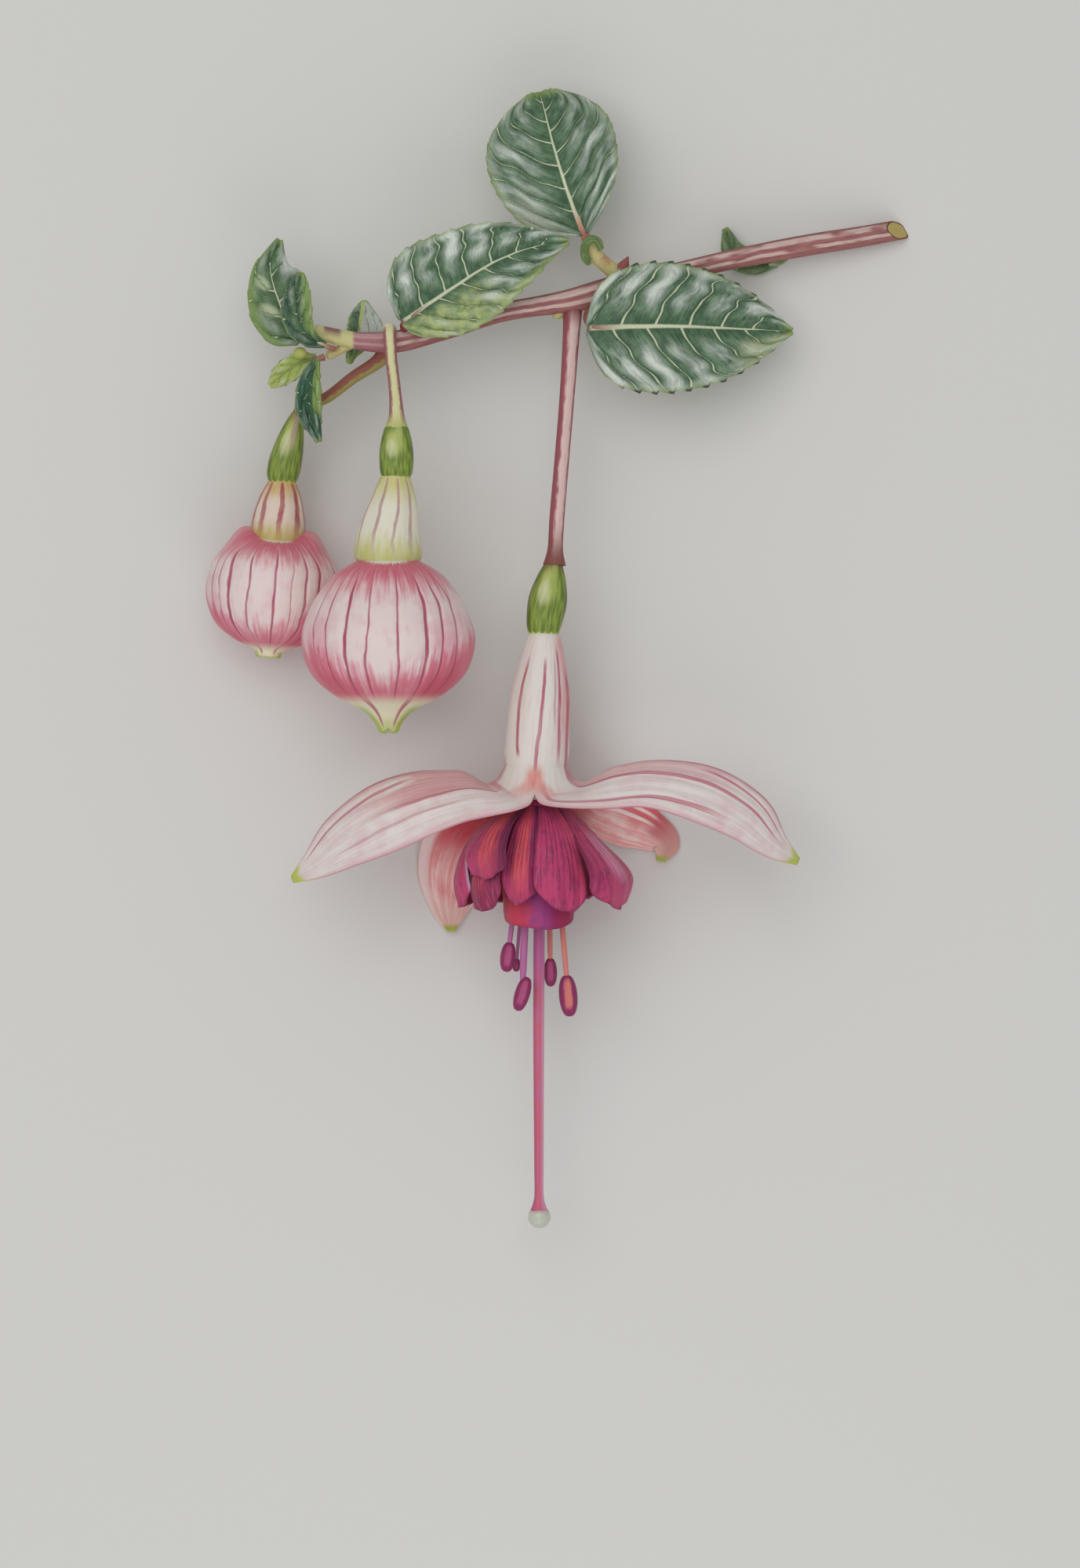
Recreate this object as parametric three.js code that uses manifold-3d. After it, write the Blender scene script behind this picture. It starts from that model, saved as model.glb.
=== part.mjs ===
// A cut sprig of a double fuchsia: one open flower, two buds and its leaves, lying on a flat surface.
// Millimetres. X runs along the woody stem, +Y against the way the flowers hang, +Z up from the surface.
import * as THREE from "three";
import { mergeVertices } from "three/addons/utils/BufferGeometryUtils.js";
import Module from "manifold-3d";

const wasm = await Module();
wasm.setup();

// Driving dimensions.
const JOINT_GAP = 0.3; // between one piece and the next along a stalk
const LEAF_THICKNESS = 0.7;
const SEPAL_THICKNESS = 0.9;
const PETAL_THICKNESS = 0.62;
const FLOWER_HEIGHT = 15.5; // of the open flower's axis above the surface
const LARGE_BUD_HEIGHT = 22.2;
const SMALL_BUD_HEIGHT = 9.3; // less than its radius, so that it rests on a small flat
const MOUTH = { x: -2.8, y: -21.6 }; // where the corolla starts under the floral tube

const COLOURS = {
  wood: 0x8a5252,
  stalk: 0xa9605a,
  paleStalk: 0xb9b56e,
  leaf: 0x4f7a5c,
  youngLeaf: 0x6f9a4a,
  ovary: 0x6f8c2e,
  calyx: 0xe2b6b8,
  bud: 0xd08f9f,
  innerSepal: 0xd0747a,
  corolla: 0x8f2a5c,
  stamen: 0xb0447a,
  style: 0xc25b8a,
  stigma: 0xd4d8c6,
};

const UP = new THREE.Vector3(0, 0, 1);
const vector = (place) => new THREE.Vector3(...place);
const degrees = THREE.MathUtils.degToRad;

// A smooth value that passes through [place, value] pairs.
function through(pairs) {
  const last = pairs.length - 1;
  const slope = (i) => {
    const before = pairs[Math.max(i - 1, 0)];
    const after = pairs[Math.min(i + 1, last)];
    return (after[1] - before[1]) / (after[0] - before[0]);
  };
  return (x) => {
    let i = 0;
    while (i < last - 1 && x > pairs[i + 1][0]) i++;
    const [x0, y0] = pairs[i];
    const [x1, y1] = pairs[i + 1];
    const span = x1 - x0;
    const u = THREE.MathUtils.clamp((x - x0) / span, 0, 1);
    const rise = u * u * (3 - 2 * u);
    const leave = u * (1 - u) * (1 - u) * slope(i);
    const arrive = u * u * (1 - u) * slope(i + 1);
    return y0 + (y1 - y0) * rise + span * (leave - arrive);
  };
}

// A geometry with one vertex at each corner.
function welded(geometry) {
  geometry.deleteAttribute("normal");
  geometry.deleteAttribute("uv");
  return mergeVertices(geometry, 1e-4);
}

function solid(geometry) {
  const closed = welded(geometry);
  return new wasm.Manifold(
    new wasm.Mesh({
      numProp: 3,
      vertProperties: new Float32Array(closed.getAttribute("position").array),
      triVerts: new Uint32Array(closed.index.array),
    }),
  );
}

function geometryOf(body) {
  const mesh = body.getMesh();
  return new THREE.BufferGeometry()
    .setAttribute("position", new THREE.BufferAttribute(mesh.vertProperties, 3))
    .setIndex(new THREE.BufferAttribute(mesh.triVerts, 1));
}

// Several closed pieces grown together into one. Slivers and sealed hollows that the join leaves are dropped.
function grown(...pieces) {
  const bodies = pieces.map(solid).reduce((whole, piece) => whole.add(piece)).decompose();
  return geometryOf(bodies.reduce((most, body) => (body.volume() > most.volume() ? body : most)));
}

// A bar along a smooth curve, round or ribbed: relief(angle, t) scales radius(t), and nothing reaches below the
// surface that the sprig lies on. Angle 90 degrees faces up.
function bar(points, radius, { sides = 8, steps = 10, relief = () => 1 } = {}) {
  const curve = new THREE.CatmullRomCurve3(points.map(vector));
  const geometry = new THREE.CylinderGeometry(1, 1, 1, sides, steps);
  const corners = geometry.getAttribute("position");
  for (let i = 0; i < corners.count; i++) {
    const t = 0.5 + corners.getY(i);
    const out = Math.hypot(corners.getX(i), corners.getZ(i));
    const angle = Math.atan2(corners.getZ(i), corners.getX(i));
    const along = curve.getTangentAt(t);
    const side = along.clone().cross(UP).normalize();
    const over = side.clone().cross(along);
    const reach = out * radius(t) * relief(angle, t);
    const place = curve
      .getPointAt(t)
      .addScaledVector(side, reach * Math.cos(angle))
      .addScaledVector(over, reach * Math.sin(angle));
    corners.setXYZ(i, place.x, place.y, Math.max(place.z, 0));
  }
  return welded(geometry);
}

// A thin closed blade about the middle surface place(s, t), with s from -1 to 1 across and t from 0 to 1 along.
// Both faces are split into triangles alike, so they never cross.
function blade(place, { columns, rows, thickness }) {
  const grid = new THREE.PlaneGeometry(2, 1, columns, rows);
  const flat = grid.getAttribute("position");
  const count = flat.count;
  const corners = new Float32Array(count * 6);
  const step = 1e-3;
  for (let i = 0; i < count; i++) {
    const s = flat.getX(i);
    const t = 0.5 + flat.getY(i);
    const before = Math.max(t - step, 0);
    const after = Math.min(t + step, 1);
    const across = place(s + step, t).sub(place(s - step, t));
    const along = place(s, after).sub(place(s, before));
    const normal = across.cross(along).setLength(thickness / 2);
    const middle = place(s, t);
    const front = middle.clone().add(normal);
    const back = middle.clone().sub(normal);
    for (const corner of [front, back]) corner.z = Math.max(corner.z, 0);
    corners.set(front.toArray(), i * 3);
    corners.set(back.toArray(), (count + i) * 3);
  }
  const faces = [];
  for (let i = 0; i < grid.index.count; i += 3) {
    const [a, b, c] = grid.index.array.slice(i, i + 3);
    faces.push(a, b, c, count + c, count + b, count + a);
  }
  const rim = rimOf(columns, rows);
  rim.forEach((from, i) => {
    const to = rim[(i + 1) % rim.length];
    faces.push(to, from, count + from, to, count + from, count + to);
  });
  return new THREE.BufferGeometry()
    .setAttribute("position", new THREE.BufferAttribute(corners, 3))
    .setIndex(faces);
}

// The corners round a grid, in the order in which its front faces meet them.
function rimOf(columns, rows) {
  const corner = (column, row) => row * (columns + 1) + column;
  const rim = [];
  for (let c = 0; c < columns; c++) rim.push(corner(c, rows));
  for (let r = rows; r > 0; r--) rim.push(corner(columns, r));
  for (let c = columns; c > 0; c--) rim.push(corner(c, 0));
  for (let r = 0; r < rows; r++) rim.push(corner(0, r));
  return rim;
}

// The middle surface of a leaf or sepal. Its midrib follows spine, and it faces from, then to. left and right
// are its half widths. arch bends the sides back, fold lifts them in a V, relief(s, t) raises its face and
// edge(t) moves its margin.
function leafSurface({ spine, from, to = from, left, right = left, arch = 0, fold = 0, relief, edge }) {
  const curve = new THREE.CatmullRomCurve3(spine.map(vector));
  return (s, t) => {
    const along = curve.getTangentAt(t);
    const turn = THREE.MathUtils.smoothstep(t, 0, 0.6);
    const facing = vector(from).lerp(vector(to), turn);
    const side = along.clone().cross(facing).normalize();
    const over = side.clone().cross(along);
    const half = s < 0 ? left(t) : right(t);
    const margin = edge ? edge(t) * Math.sign(s) * s ** 8 : 0;
    const reach = s * half + margin;
    const lift = fold * Math.abs(reach) - arch * reach * reach + (relief ? relief(s, t) : 0);
    return curve.getPointAt(t).addScaledVector(side, reach).addScaledVector(over, lift);
  };
}

// Teeth that point to the tip, count of them along each margin.
const teeth = (count, depth) => (t) => depth * ((t * count) % 1) * Math.min(1, 6 * t, 6 * (1 - t));

// The quilted face of a leaf, puffed up between side veins that lean towards its tip.
const quilt = (veins, height) => (s, t) => {
  const across = Math.abs(s);
  const phase = (t - 0.3 * across ** 1.3) * veins;
  return height * Math.abs(Math.sin(Math.PI * phase)) * Math.sin(Math.PI * Math.min(across, 0.97));
};

// A leaf with its stalk, whose thick end is the leaf's foot and whose thin end runs on under the midrib.
function leaf({ stalk, stalkRadius, surface, columns, rows }) {
  const place = leafSurface(surface);
  const keel = [0.12, 0.4, 0.7, 0.9].map((t) => {
    const middle = place(0, t);
    return [middle.x, middle.y, middle.z - LEAF_THICKNESS / 2];
  });
  const radius = through([
    [0, stalkRadius],
    [0.25, stalkRadius * 0.85],
    [1, 0.25],
  ]);
  return grown(
    blade(place, { columns, rows, thickness: LEAF_THICKNESS }),
    bar([...stalk, ...keel], radius, { sides: 4, steps: 8 }),
  );
}

const largeLeaf = (spec) => leaf({ columns: 8, rows: 24, ...spec });
const smallLeaf = (spec) => leaf({ columns: 4, rows: 10, ...spec });

function rightLeaf() {
  return largeLeaf({
    stalk: [
      [4.9, 53.2, 12.3],
      [4.6, 51.9, 13.4],
      [5.6, 50.8, 14.1],
    ],
    stalkRadius: 0.75,
    surface: {
      spine: [
        [4.5, 50.4, 14.4],
        [10, 50.6, 15.4],
        [18, 50.7, 14.8],
        [27, 50.5, 11.8],
        [35.9, 50.3, 7.4],
      ],
      from: [0, 0, 1],
      to: [0.2, 0.1, 1],
      left: through([[0, 1.4], [0.04, 5.4], [0.14, 8.4], [0.35, 9.8], [0.6, 8.6], [0.8, 5.6], [1, 0.5]]),
      right: through([[0, 1.4], [0.04, 5.7], [0.14, 8.8], [0.35, 9.9], [0.6, 8.5], [0.8, 5.2], [1, 0.5]]),
      arch: 0.012,
      relief: quilt(5.6, 0.6),
      edge: teeth(12, 0.6),
    },
  });
}

function centreLeaf() {
  return largeLeaf({
    stalk: [
      [-23.3, 50, 15.9],
      [-23.5, 50.9, 16.4],
      [-22.2, 51.8, 16.8],
    ],
    stalkRadius: 0.6,
    surface: {
      spine: [
        [-23.8, 51.2, 16.9],
        [-16.7, 55.9, 18.4],
        [-9.5, 60.4, 18.2],
        [-3.3, 62.8, 16.9],
        [1.5, 63.6, 15.6],
      ],
      from: [0, 0, 1],
      left: through([[0, 1.3], [0.02, 4.8], [0.13, 8.1], [0.26, 8.8], [0.44, 7.8], [0.65, 5.7], [0.85, 2.7], [1, 0.5]]),
      right: through([[0, 0.9], [0.02, 2.6], [0.08, 4.3], [0.23, 6.5], [0.4, 7.1], [0.55, 6.6], [0.8, 4], [1, 0.5]]),
      arch: 0.012,
      relief: quilt(5.6, 0.55),
      edge: teeth(12, 0.5),
    },
  });
}

function topLeaf() {
  return largeLeaf({
    stalk: [
      [4.5, 63.9, 12],
      [4.2, 64.8, 12.4],
      [3.5, 66.2, 12.8],
    ],
    stalkRadius: 0.75,
    surface: {
      spine: [
        [3.9, 65, 12.8],
        [1.6, 71, 14.4],
        [-0.6, 78.2, 14],
        [-1.9, 83.5, 11.6],
        [-2.7, 86.8, 9.2],
      ],
      from: [0, 0, 1],
      left: through([[0, 1], [0.08, 5.6], [0.25, 8.9], [0.5, 10.6], [0.75, 9.4], [0.92, 5.6], [1, 2.2]]),
      right: through([[0, 1], [0.08, 3.8], [0.25, 7.4], [0.5, 9.3], [0.75, 8.9], [0.92, 5.8], [1, 2.6]]),
      arch: 0.014,
      relief: quilt(6.2, 0.55),
      edge: teeth(12, 0.35),
    },
  });
}

function leftLeaf() {
  return smallLeaf({
    stalk: [
      [-38, 49.5, 14.5],
      [-38.9, 48.8, 14.4],
      [-39.9, 49.3, 14.2],
    ],
    stalkRadius: 0.5,
    surface: {
      spine: [
        [-39.2, 48.4, 14.4],
        [-41.2, 51.2, 14.8],
        [-42.9, 55.5, 15.2],
        [-43.9, 59.8, 14.4],
        [-42.6, 63.9, 12.8],
      ],
      from: [0, 0, 1],
      left: through([[0, 0.9], [0.12, 3.6], [0.35, 4.8], [0.6, 3.8], [0.82, 1.6], [1, 0.5]]),
      right: through([[0, 0.9], [0.15, 2.8], [0.4, 4.7], [0.6, 4.8], [0.82, 2.5], [1, 0.5]]),
      arch: 0.03,
      relief: quilt(4, 0.6),
      edge: teeth(5, 0.3),
    },
  });
}

function innerLeaf() {
  return smallLeaf({
    stalk: [
      [-34.1, 47.2, 15.5],
      [-35, 47.5, 16.2],
      [-36.2, 48, 16.9],
    ],
    stalkRadius: 0.45,
    surface: {
      spine: [
        [-35.6, 47.8, 16.6],
        [-37.8, 48.9, 17.4],
        [-39.4, 51.6, 18.3],
        [-39.7, 54.8, 18.6],
        [-39.1, 58.6, 17.8],
      ],
      from: [-0.2, 0, 1],
      left: through([[0, 0.5], [0.15, 1.2], [0.35, 2], [0.6, 2.2], [0.85, 1.3], [1, 0.4]]),
      right: through([[0, 0.5], [0.15, 1], [0.35, 1.8], [0.6, 2.6], [0.85, 1.7], [1, 0.4]]),
      fold: 0.5,
      relief: quilt(4, 0.3),
      edge: teeth(5, 0.25),
    },
  });
}

function lowerLeaf() {
  return smallLeaf({
    stalk: [
      [-35.6, 45.9, 13.7],
      [-36.6, 45.8, 14],
      [-37.6, 45.7, 14.3],
    ],
    stalkRadius: 0.4,
    surface: {
      spine: [
        [-36.8, 45.9, 14.4],
        [-39.2, 45.2, 14.8],
        [-41.4, 43.8, 14.4],
        [-43.9, 41.7, 13.2],
      ],
      from: [0, 0, 1],
      left: through([[0, 0.6], [0.25, 1.6], [0.6, 1.7], [0.85, 1.2], [1, 0.4]]),
      right: through([[0, 0.6], [0.3, 1.5], [0.6, 1.7], [0.85, 1.2], [1, 0.4]]),
      fold: 0.15,
      relief: quilt(4, 0.2),
      edge: teeth(5, 0.25),
    },
  });
}

function hangingLeaf() {
  return smallLeaf({
    stalk: [
      [-35.7, 46.1, 15.4],
      [-36.5, 45.7, 15.7],
      [-37.1, 44.8, 15.8],
    ],
    stalkRadius: 0.4,
    surface: {
      spine: [
        [-36.8, 45.5, 15.9],
        [-37.9, 42, 16.2],
        [-38, 38, 15.8],
        [-36.5, 33.2, 13.8],
      ],
      from: [0, 0, 1],
      left: through([[0, 0.5], [0.3, 1.8], [0.6, 1.9], [0.85, 1], [1, 0.4]]),
      right: through([[0, 0.5], [0.3, 1.6], [0.6, 1.8], [0.85, 1], [1, 0.4]]),
      fold: 0.45,
      relief: quilt(4, 0.3),
      edge: teeth(5, 0.25),
    },
  });
}

function behindLeaf() {
  return smallLeaf({
    stalk: [
      [-25.4, 48.6, 11.6],
      [-26.2, 48.8, 11.3],
      [-27.4, 49.1, 10.8],
    ],
    stalkRadius: 0.45,
    surface: {
      spine: [
        [-26.4, 48.9, 11.2],
        [-28.6, 49.3, 10.5],
        [-30.9, 49.6, 10.6],
        [-32.3, 49.7, 11.4],
      ],
      from: [0, 0, 1],
      left: through([[0, 0.5], [0.3, 1.5], [0.5, 2.3], [0.7, 3.6], [0.85, 4.5], [1, 4.4]]),
      right: through([[0, 0.5], [0.15, 2.4], [0.35, 3.8], [0.55, 5.2], [0.7, 5.3], [0.85, 4.2], [1, 2.4]]),
      fold: 0.12,
      relief: quilt(4, 0.2),
      edge: teeth(5, 0.2),
    },
  });
}

function backRightLeaf() {
  return smallLeaf({
    stalk: [
      [35.2, 61.9, 2.5],
      [34.2, 61.2, 2.1],
      [32.8, 60.9, 1.6],
    ],
    stalkRadius: 0.45,
    surface: {
      spine: [
        [33.9, 61, 1.9],
        [30.4, 61.1, 1.4],
        [27.4, 62.6, 1.4],
        [25.8, 66.5, 2.4],
      ],
      from: [0, 0, 1],
      left: through([[0, 0.5], [0.3, 1.8], [0.6, 2], [0.85, 1.1], [1, 0.4]]),
      right: through([[0, 0.5], [0.3, 1.6], [0.6, 1.9], [0.85, 1.1], [1, 0.4]]),
      fold: 0.1,
      relief: quilt(4, 0.2),
      edge: teeth(5, 0.25),
    },
  });
}

// The young leaf that is still rolled round the end of the side shoot.
function curledLeaf() {
  const place = leafSurface({
    spine: [
      [6.6, 62.6, 13.1],
      [5.9, 63.7, 13.9],
      [4.9, 63.8, 14.1],
      [4.3, 62.8, 13.8],
      [4.3, 61.5, 13],
      [4.8, 60.4, 12.1],
    ],
    from: [0, 0, 1],
    left: through([[0, 0.45], [0.25, 0.5], [0.6, 0.5], [0.85, 0.5], [1, 0.4]]),
    right: through([[0, 0.5], [0.25, 0.8], [0.6, 0.8], [0.85, 0.7], [1, 0.4]]),
    arch: 0.05,
  });
  return blade(place, { columns: 4, rows: 10, thickness: 0.6 });
}

const WOODY_STEM = [
  [54.6, 66.6, 1.1],
  [47.2, 65.2, 2.5],
  [40.7, 64.1, 3.7],
  [28.7, 61.8, 5.9],
  [20.3, 59.8, 7.4],
  [10.7, 57.4, 9.1],
  [2.9, 55, 10.5],
  [-8.5, 52.9, 12.2],
  [-18.1, 49.8, 13.5],
  [-24.7, 48.4, 14],
  [-30.7, 48.5, 14.3],
  [-37.2, 49.9, 14.5],
];

// The shoot that carries the top leaf, and the one that carries the small leaves below the stem's tip.
const TOP_SHOOT = [
  [10.6, 57.4, 9.4],
  [8.4, 59.5, 10.4],
  [6.4, 61.2, 11],
  [4.8, 63.4, 11.7],
];
const LOWER_SHOOT = [
  [-31.4, 48.4, 13.8],
  [-33.4, 47.1, 13.7],
  [-35, 46.3, 13.8],
];
const STIPULES = [
  [[8.8, 57.6, 9.8], [10, 59.9, 10.6], [10.8, 61.6, 11]],
  [[0.2, 53.6, 11], [-0.1, 52.6, 11.4], [-0.5, 52, 11.7]],
];

// The woody stem with its two nodes, the side shoots that leaves stand on, and its pointed stipules.
function branch() {
  const radius = through([
    [0, 1.5],
    [0.15, 1.65],
    [0.4, 1.5],
    [0.54, 1.95],
    [0.64, 1.5],
    [0.8, 1.4],
    [0.87, 1.7],
    [0.93, 1.35],
    [1, 1.1],
  ]);
  const ridges = (angle) => 1 + 0.04 * Math.cos(4 * angle);
  const stem = bar(WOODY_STEM, radius, { sides: 10, steps: 28, relief: ridges });
  const shootFacets = { sides: 6, steps: 5 };
  const topShoot = bar(TOP_SHOOT, () => 1.25, shootFacets);
  const lowerShoot = bar(LOWER_SHOOT, () => 0.75, shootFacets);
  const thorn = (t) => 1.4 * (1 - 0.9 * t);
  const [stipule, lowStipule] = STIPULES.map((line) => bar(line, thorn, { sides: 5, steps: 3 }));
  const whole = [stem, topShoot, lowerShoot, stipule, lowStipule].map(solid);
  const uncut = whole.reduce((sum, piece) => sum.add(piece));
  return geometryOf(uncut.subtract(solid(beyondTheCut())));
}

// Everything past the slanting cut at the stem's thick end.
function beyondTheCut() {
  const size = 16;
  const facing = vector([0.68, 0.38, 0.63]).normalize();
  const turn = new THREE.Quaternion().setFromUnitVectors(UP, facing);
  const middle = vector([51.8, 66.3, 2.1]).addScaledVector(facing, size / 2);
  return new THREE.BoxGeometry(size, size, size).applyQuaternion(turn).translate(...middle.toArray());
}

const flowerStalk = () =>
  bar(
    [
      [2.2, 52, 11.7],
      [1.9, 46.8, 12.4],
      [1.3, 38.4, 13.4],
      [0.5, 28.8, 14.4],
      [-0.1, 21.6, 15.1],
      [-0.5, 14.9, FLOWER_HEIGHT],
    ],
    through([[0, 1.4], [0.3, 1.15], [0.85, 1.15], [1, 1.3]]),
  );

const largeBudStalk = () =>
  bar(
    [
      [-25.6, 50, LARGE_BUD_HEIGHT - 5.3],
      [-25.4, 46, LARGE_BUD_HEIGHT - 4.1],
      [-24.8, 41, LARGE_BUD_HEIGHT - 2.3],
      [-24.5, 37, LARGE_BUD_HEIGHT - 0.8],
      [-24.5, 35.3, LARGE_BUD_HEIGHT - 0.5],
    ],
    through([[0, 0.95], [0.5, 0.95], [0.8, 1.1], [1, 1.7]]),
  );

const smallBudStalk = () =>
  bar(
    [
      [-27.2, 45.8, 12.2],
      [-31.2, 43.1, 11.4],
      [-35.6, 39.9, 10.4],
      [-38.1, 39, 10],
      [-39.35, 38.3, 9.9],
      [-39.7, 37.55, 9.9],
    ],
    through([[0, 1.15], [0.4, 0.95], [1, 0.85]]),
  );

// An ovary, a floral tube or a closed bud about its axis.
const turned = (axis, pairs, options) => bar(axis, through(pairs), options);

const OVARY = [
  [0, 1.3],
  [0.18, 2.1],
  [0.55, 3.05],
  [0.85, 2.85],
  [1, 2.3],
];
const smallOvary = OVARY.map(([t, radius]) => [t, radius * 0.87]);
const fourSided = (angle) => 1 - 0.05 * Math.cos(4 * angle);
const tubeRibs = (angle) => 1 - 0.03 * (1 + Math.cos(8 * angle));

// The four joined sepals of a closed bud: each has its midrib and two raised side veins, and the seams sink in.
const sepalRibs = (angle, t) => {
  const seam = Math.cos(2 * (angle - Math.PI / 4)) ** 12;
  const veins = Math.cos(6 * angle) ** 2;
  return 1 - Math.sin(Math.PI * t) * (0.05 * seam + 0.025 * (1 - veins));
};
const BUD_FACETS = { sides: 24, steps: 12, relief: sepalRibs };

const flowerOvary = () =>
  turned(
    [
      [-0.55, 14.5, FLOWER_HEIGHT],
      [-1.4, 9.5, FLOWER_HEIGHT],
      [-2.1, 5.2, FLOWER_HEIGHT],
      [-2.2, 3.9, FLOWER_HEIGHT],
    ],
    OVARY,
    { sides: 12, steps: 8, relief: fourSided },
  );

const flowerTube = () =>
  turned(
    [
      [-2.25, 3.9 - JOINT_GAP, FLOWER_HEIGHT],
      [MOUTH.x, MOUTH.y + JOINT_GAP, FLOWER_HEIGHT],
    ],
    [[0, 2.45], [0.2, 3.7], [0.43, 4.75], [0.65, 4.9], [0.81, 5.25], [0.92, 6.25], [1, 6.05]],
    { sides: 16, steps: 12, relief: tubeRibs },
  );

const largeBudOvary = () =>
  turned(
    [
      [-24.5, 34.95, LARGE_BUD_HEIGHT - 0.4],
      [-24.55, 31.4, LARGE_BUD_HEIGHT - 0.1],
      [-24.6, 27.8, LARGE_BUD_HEIGHT],
    ],
    [[0, 1.75], [0.15, 2.25], [0.4, 2.6], [0.8, 2.6], [0.93, 2.3], [1, 1.95]],
    { sides: 12, steps: 7, relief: fourSided },
  );

const largeBudTube = () =>
  turned(
    [
      [-24.6, 27.5, LARGE_BUD_HEIGHT],
      [-24.9, 24, LARGE_BUD_HEIGHT],
      [-25.7, 18, LARGE_BUD_HEIGHT],
      [-25.8, 15, LARGE_BUD_HEIGHT],
    ],
    [[0, 2.3], [0.25, 3.5], [0.5, 4.5], [0.85, 5.15], [1, 4.7]],
    { sides: 16, steps: 8, relief: tubeRibs },
  );

const largeBudCalyx = () =>
  turned(
    [
      [-25.8, 14.65, LARGE_BUD_HEIGHT],
      [-25.7, -11.2, LARGE_BUD_HEIGHT],
    ],
    [
      [0, 5.2],
      [0.066, 7.8],
      [0.143, 9.7],
      [0.274, 11.8],
      [0.444, 13.2],
      [0.598, 12.6],
      [0.703, 11],
      [0.807, 7.7],
      [0.884, 4],
      [0.954, 2.1],
      [1, 1.4],
    ],
    BUD_FACETS,
  );

const smallBudOvary = () =>
  turned(
    [
      [-39.8, 37.15, 9.8],
      [-41.1, 32.4, 9.6],
      [-42.1, 28.4, SMALL_BUD_HEIGHT],
      [-42.15, 27.1, SMALL_BUD_HEIGHT],
    ],
    smallOvary,
    { sides: 12, steps: 7, relief: fourSided },
  );

const smallBudTube = () =>
  turned(
    [
      [-42.2, 26.8, SMALL_BUD_HEIGHT],
      [-43, 18.6, SMALL_BUD_HEIGHT],
    ],
    [[0, 2.1], [0.3, 3.4], [0.7, 4.3], [1, 3.9]],
    { sides: 16, steps: 6, relief: tubeRibs },
  );

const smallBudCalyx = () =>
  turned(
    [
      [-42.95, 18.3, SMALL_BUD_HEIGHT],
      [-44.4, 0.3, SMALL_BUD_HEIGHT],
    ],
    [
      [0, 4.2],
      [0.05, 6.5],
      [0.15, 8.9],
      [0.3, 10.1],
      [0.5, 10.3],
      [0.68, 9.2],
      [0.78, 7.8],
      [0.88, 5],
      [0.94, 2.7],
      [1, 1.7],
    ],
    BUD_FACETS,
  );

// Three raised veins along a sepal.
const sepalVeins = (s, t) => 0.25 * Math.cos(2.5 * Math.PI * s) ** 2 * Math.sin(Math.PI * t);

const sepal = (surface) =>
  blade(leafSurface({ relief: sepalVeins, ...surface }), { columns: 8, rows: 12, thickness: SEPAL_THICKNESS });

const frontLeftSepal = () =>
  sepal({
    spine: [
      [-8.1, -20.4, 20.2],
      [-12.6, -20.2, 22.4],
      [-19, -21.4, 24],
      [-26, -24.2, 23.8],
      [-32.4, -27.8, 21.8],
      [-37.5, -31.8, 18.8],
      [-40.4, -33.7, 16.8],
    ],
    from: [-0.3, 0.6, 0.7],
    to: [-0.1, 0.35, 0.92],
    left: through([[0, 3.4], [0.15, 4.6], [0.35, 5.3], [0.55, 5.3], [0.75, 4], [0.9, 2.1], [1, 0.6]]),
    right: through([[0, 3.4], [0.15, 4.8], [0.35, 6.3], [0.55, 6.4], [0.75, 4.9], [0.9, 2.4], [1, 0.6]]),
    arch: 0.04,
  });

const frontRightSepal = () =>
  sepal({
    spine: [
      [2.7, -20.6, 20.5],
      [7, -19.8, 22.4],
      [14, -18.9, 23.8],
      [22.2, -20.6, 23.8],
      [28.5, -24, 22.2],
      [33, -28.4, 19.6],
      [36.6, -31, 17],
    ],
    from: [0.3, 0.6, 0.7],
    to: [0.1, 0.35, 0.92],
    left: through([[0, 3.4], [0.15, 3.9], [0.35, 4.5], [0.55, 4.9], [0.75, 4.3], [0.9, 2.4], [1, 0.6]]),
    right: through([[0, 3.4], [0.15, 3.8], [0.35, 4.4], [0.55, 4.6], [0.75, 3.6], [0.9, 2], [1, 0.6]]),
    arch: 0.04,
  });

const backLeftSepal = () =>
  sepal({
    spine: [
      [-7.3, -21.3, 11],
      [-10.6, -24.2, 6.4],
      [-13.8, -28.2, 2.4],
      [-15.9, -33, 0.4],
      [-16.6, -38, 0.4],
      [-16.4, -42, 1.6],
    ],
    from: [0.4, -0.5, 0.8],
    to: [0, 0.05, 1],
    left: through([[0, 3.4], [0.25, 5], [0.5, 6.6], [0.7, 5.6], [0.88, 2.9], [1, 0.6]]),
    arch: -0.012,
  });

const backRightSepal = () =>
  sepal({
    spine: [
      [1.7, -21.3, 11],
      [5.8, -23.6, 6.4],
      [9.8, -25.4, 2.4],
      [13.6, -26.9, 0.4],
      [16.2, -28.6, 0.4],
      [15.9, -31.2, 1.2],
    ],
    from: [-0.4, -0.5, 0.8],
    to: [0, 0.05, 1],
    left: through([[0, 3.4], [0.3, 4.6], [0.6, 4.6], [0.85, 3.2], [1, 0.6]]),
    right: through([[0, 2.8], [0.3, 3.2], [0.6, 3.2], [0.85, 1.9], [1, 0.6]]),
    arch: -0.012,
  });

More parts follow.
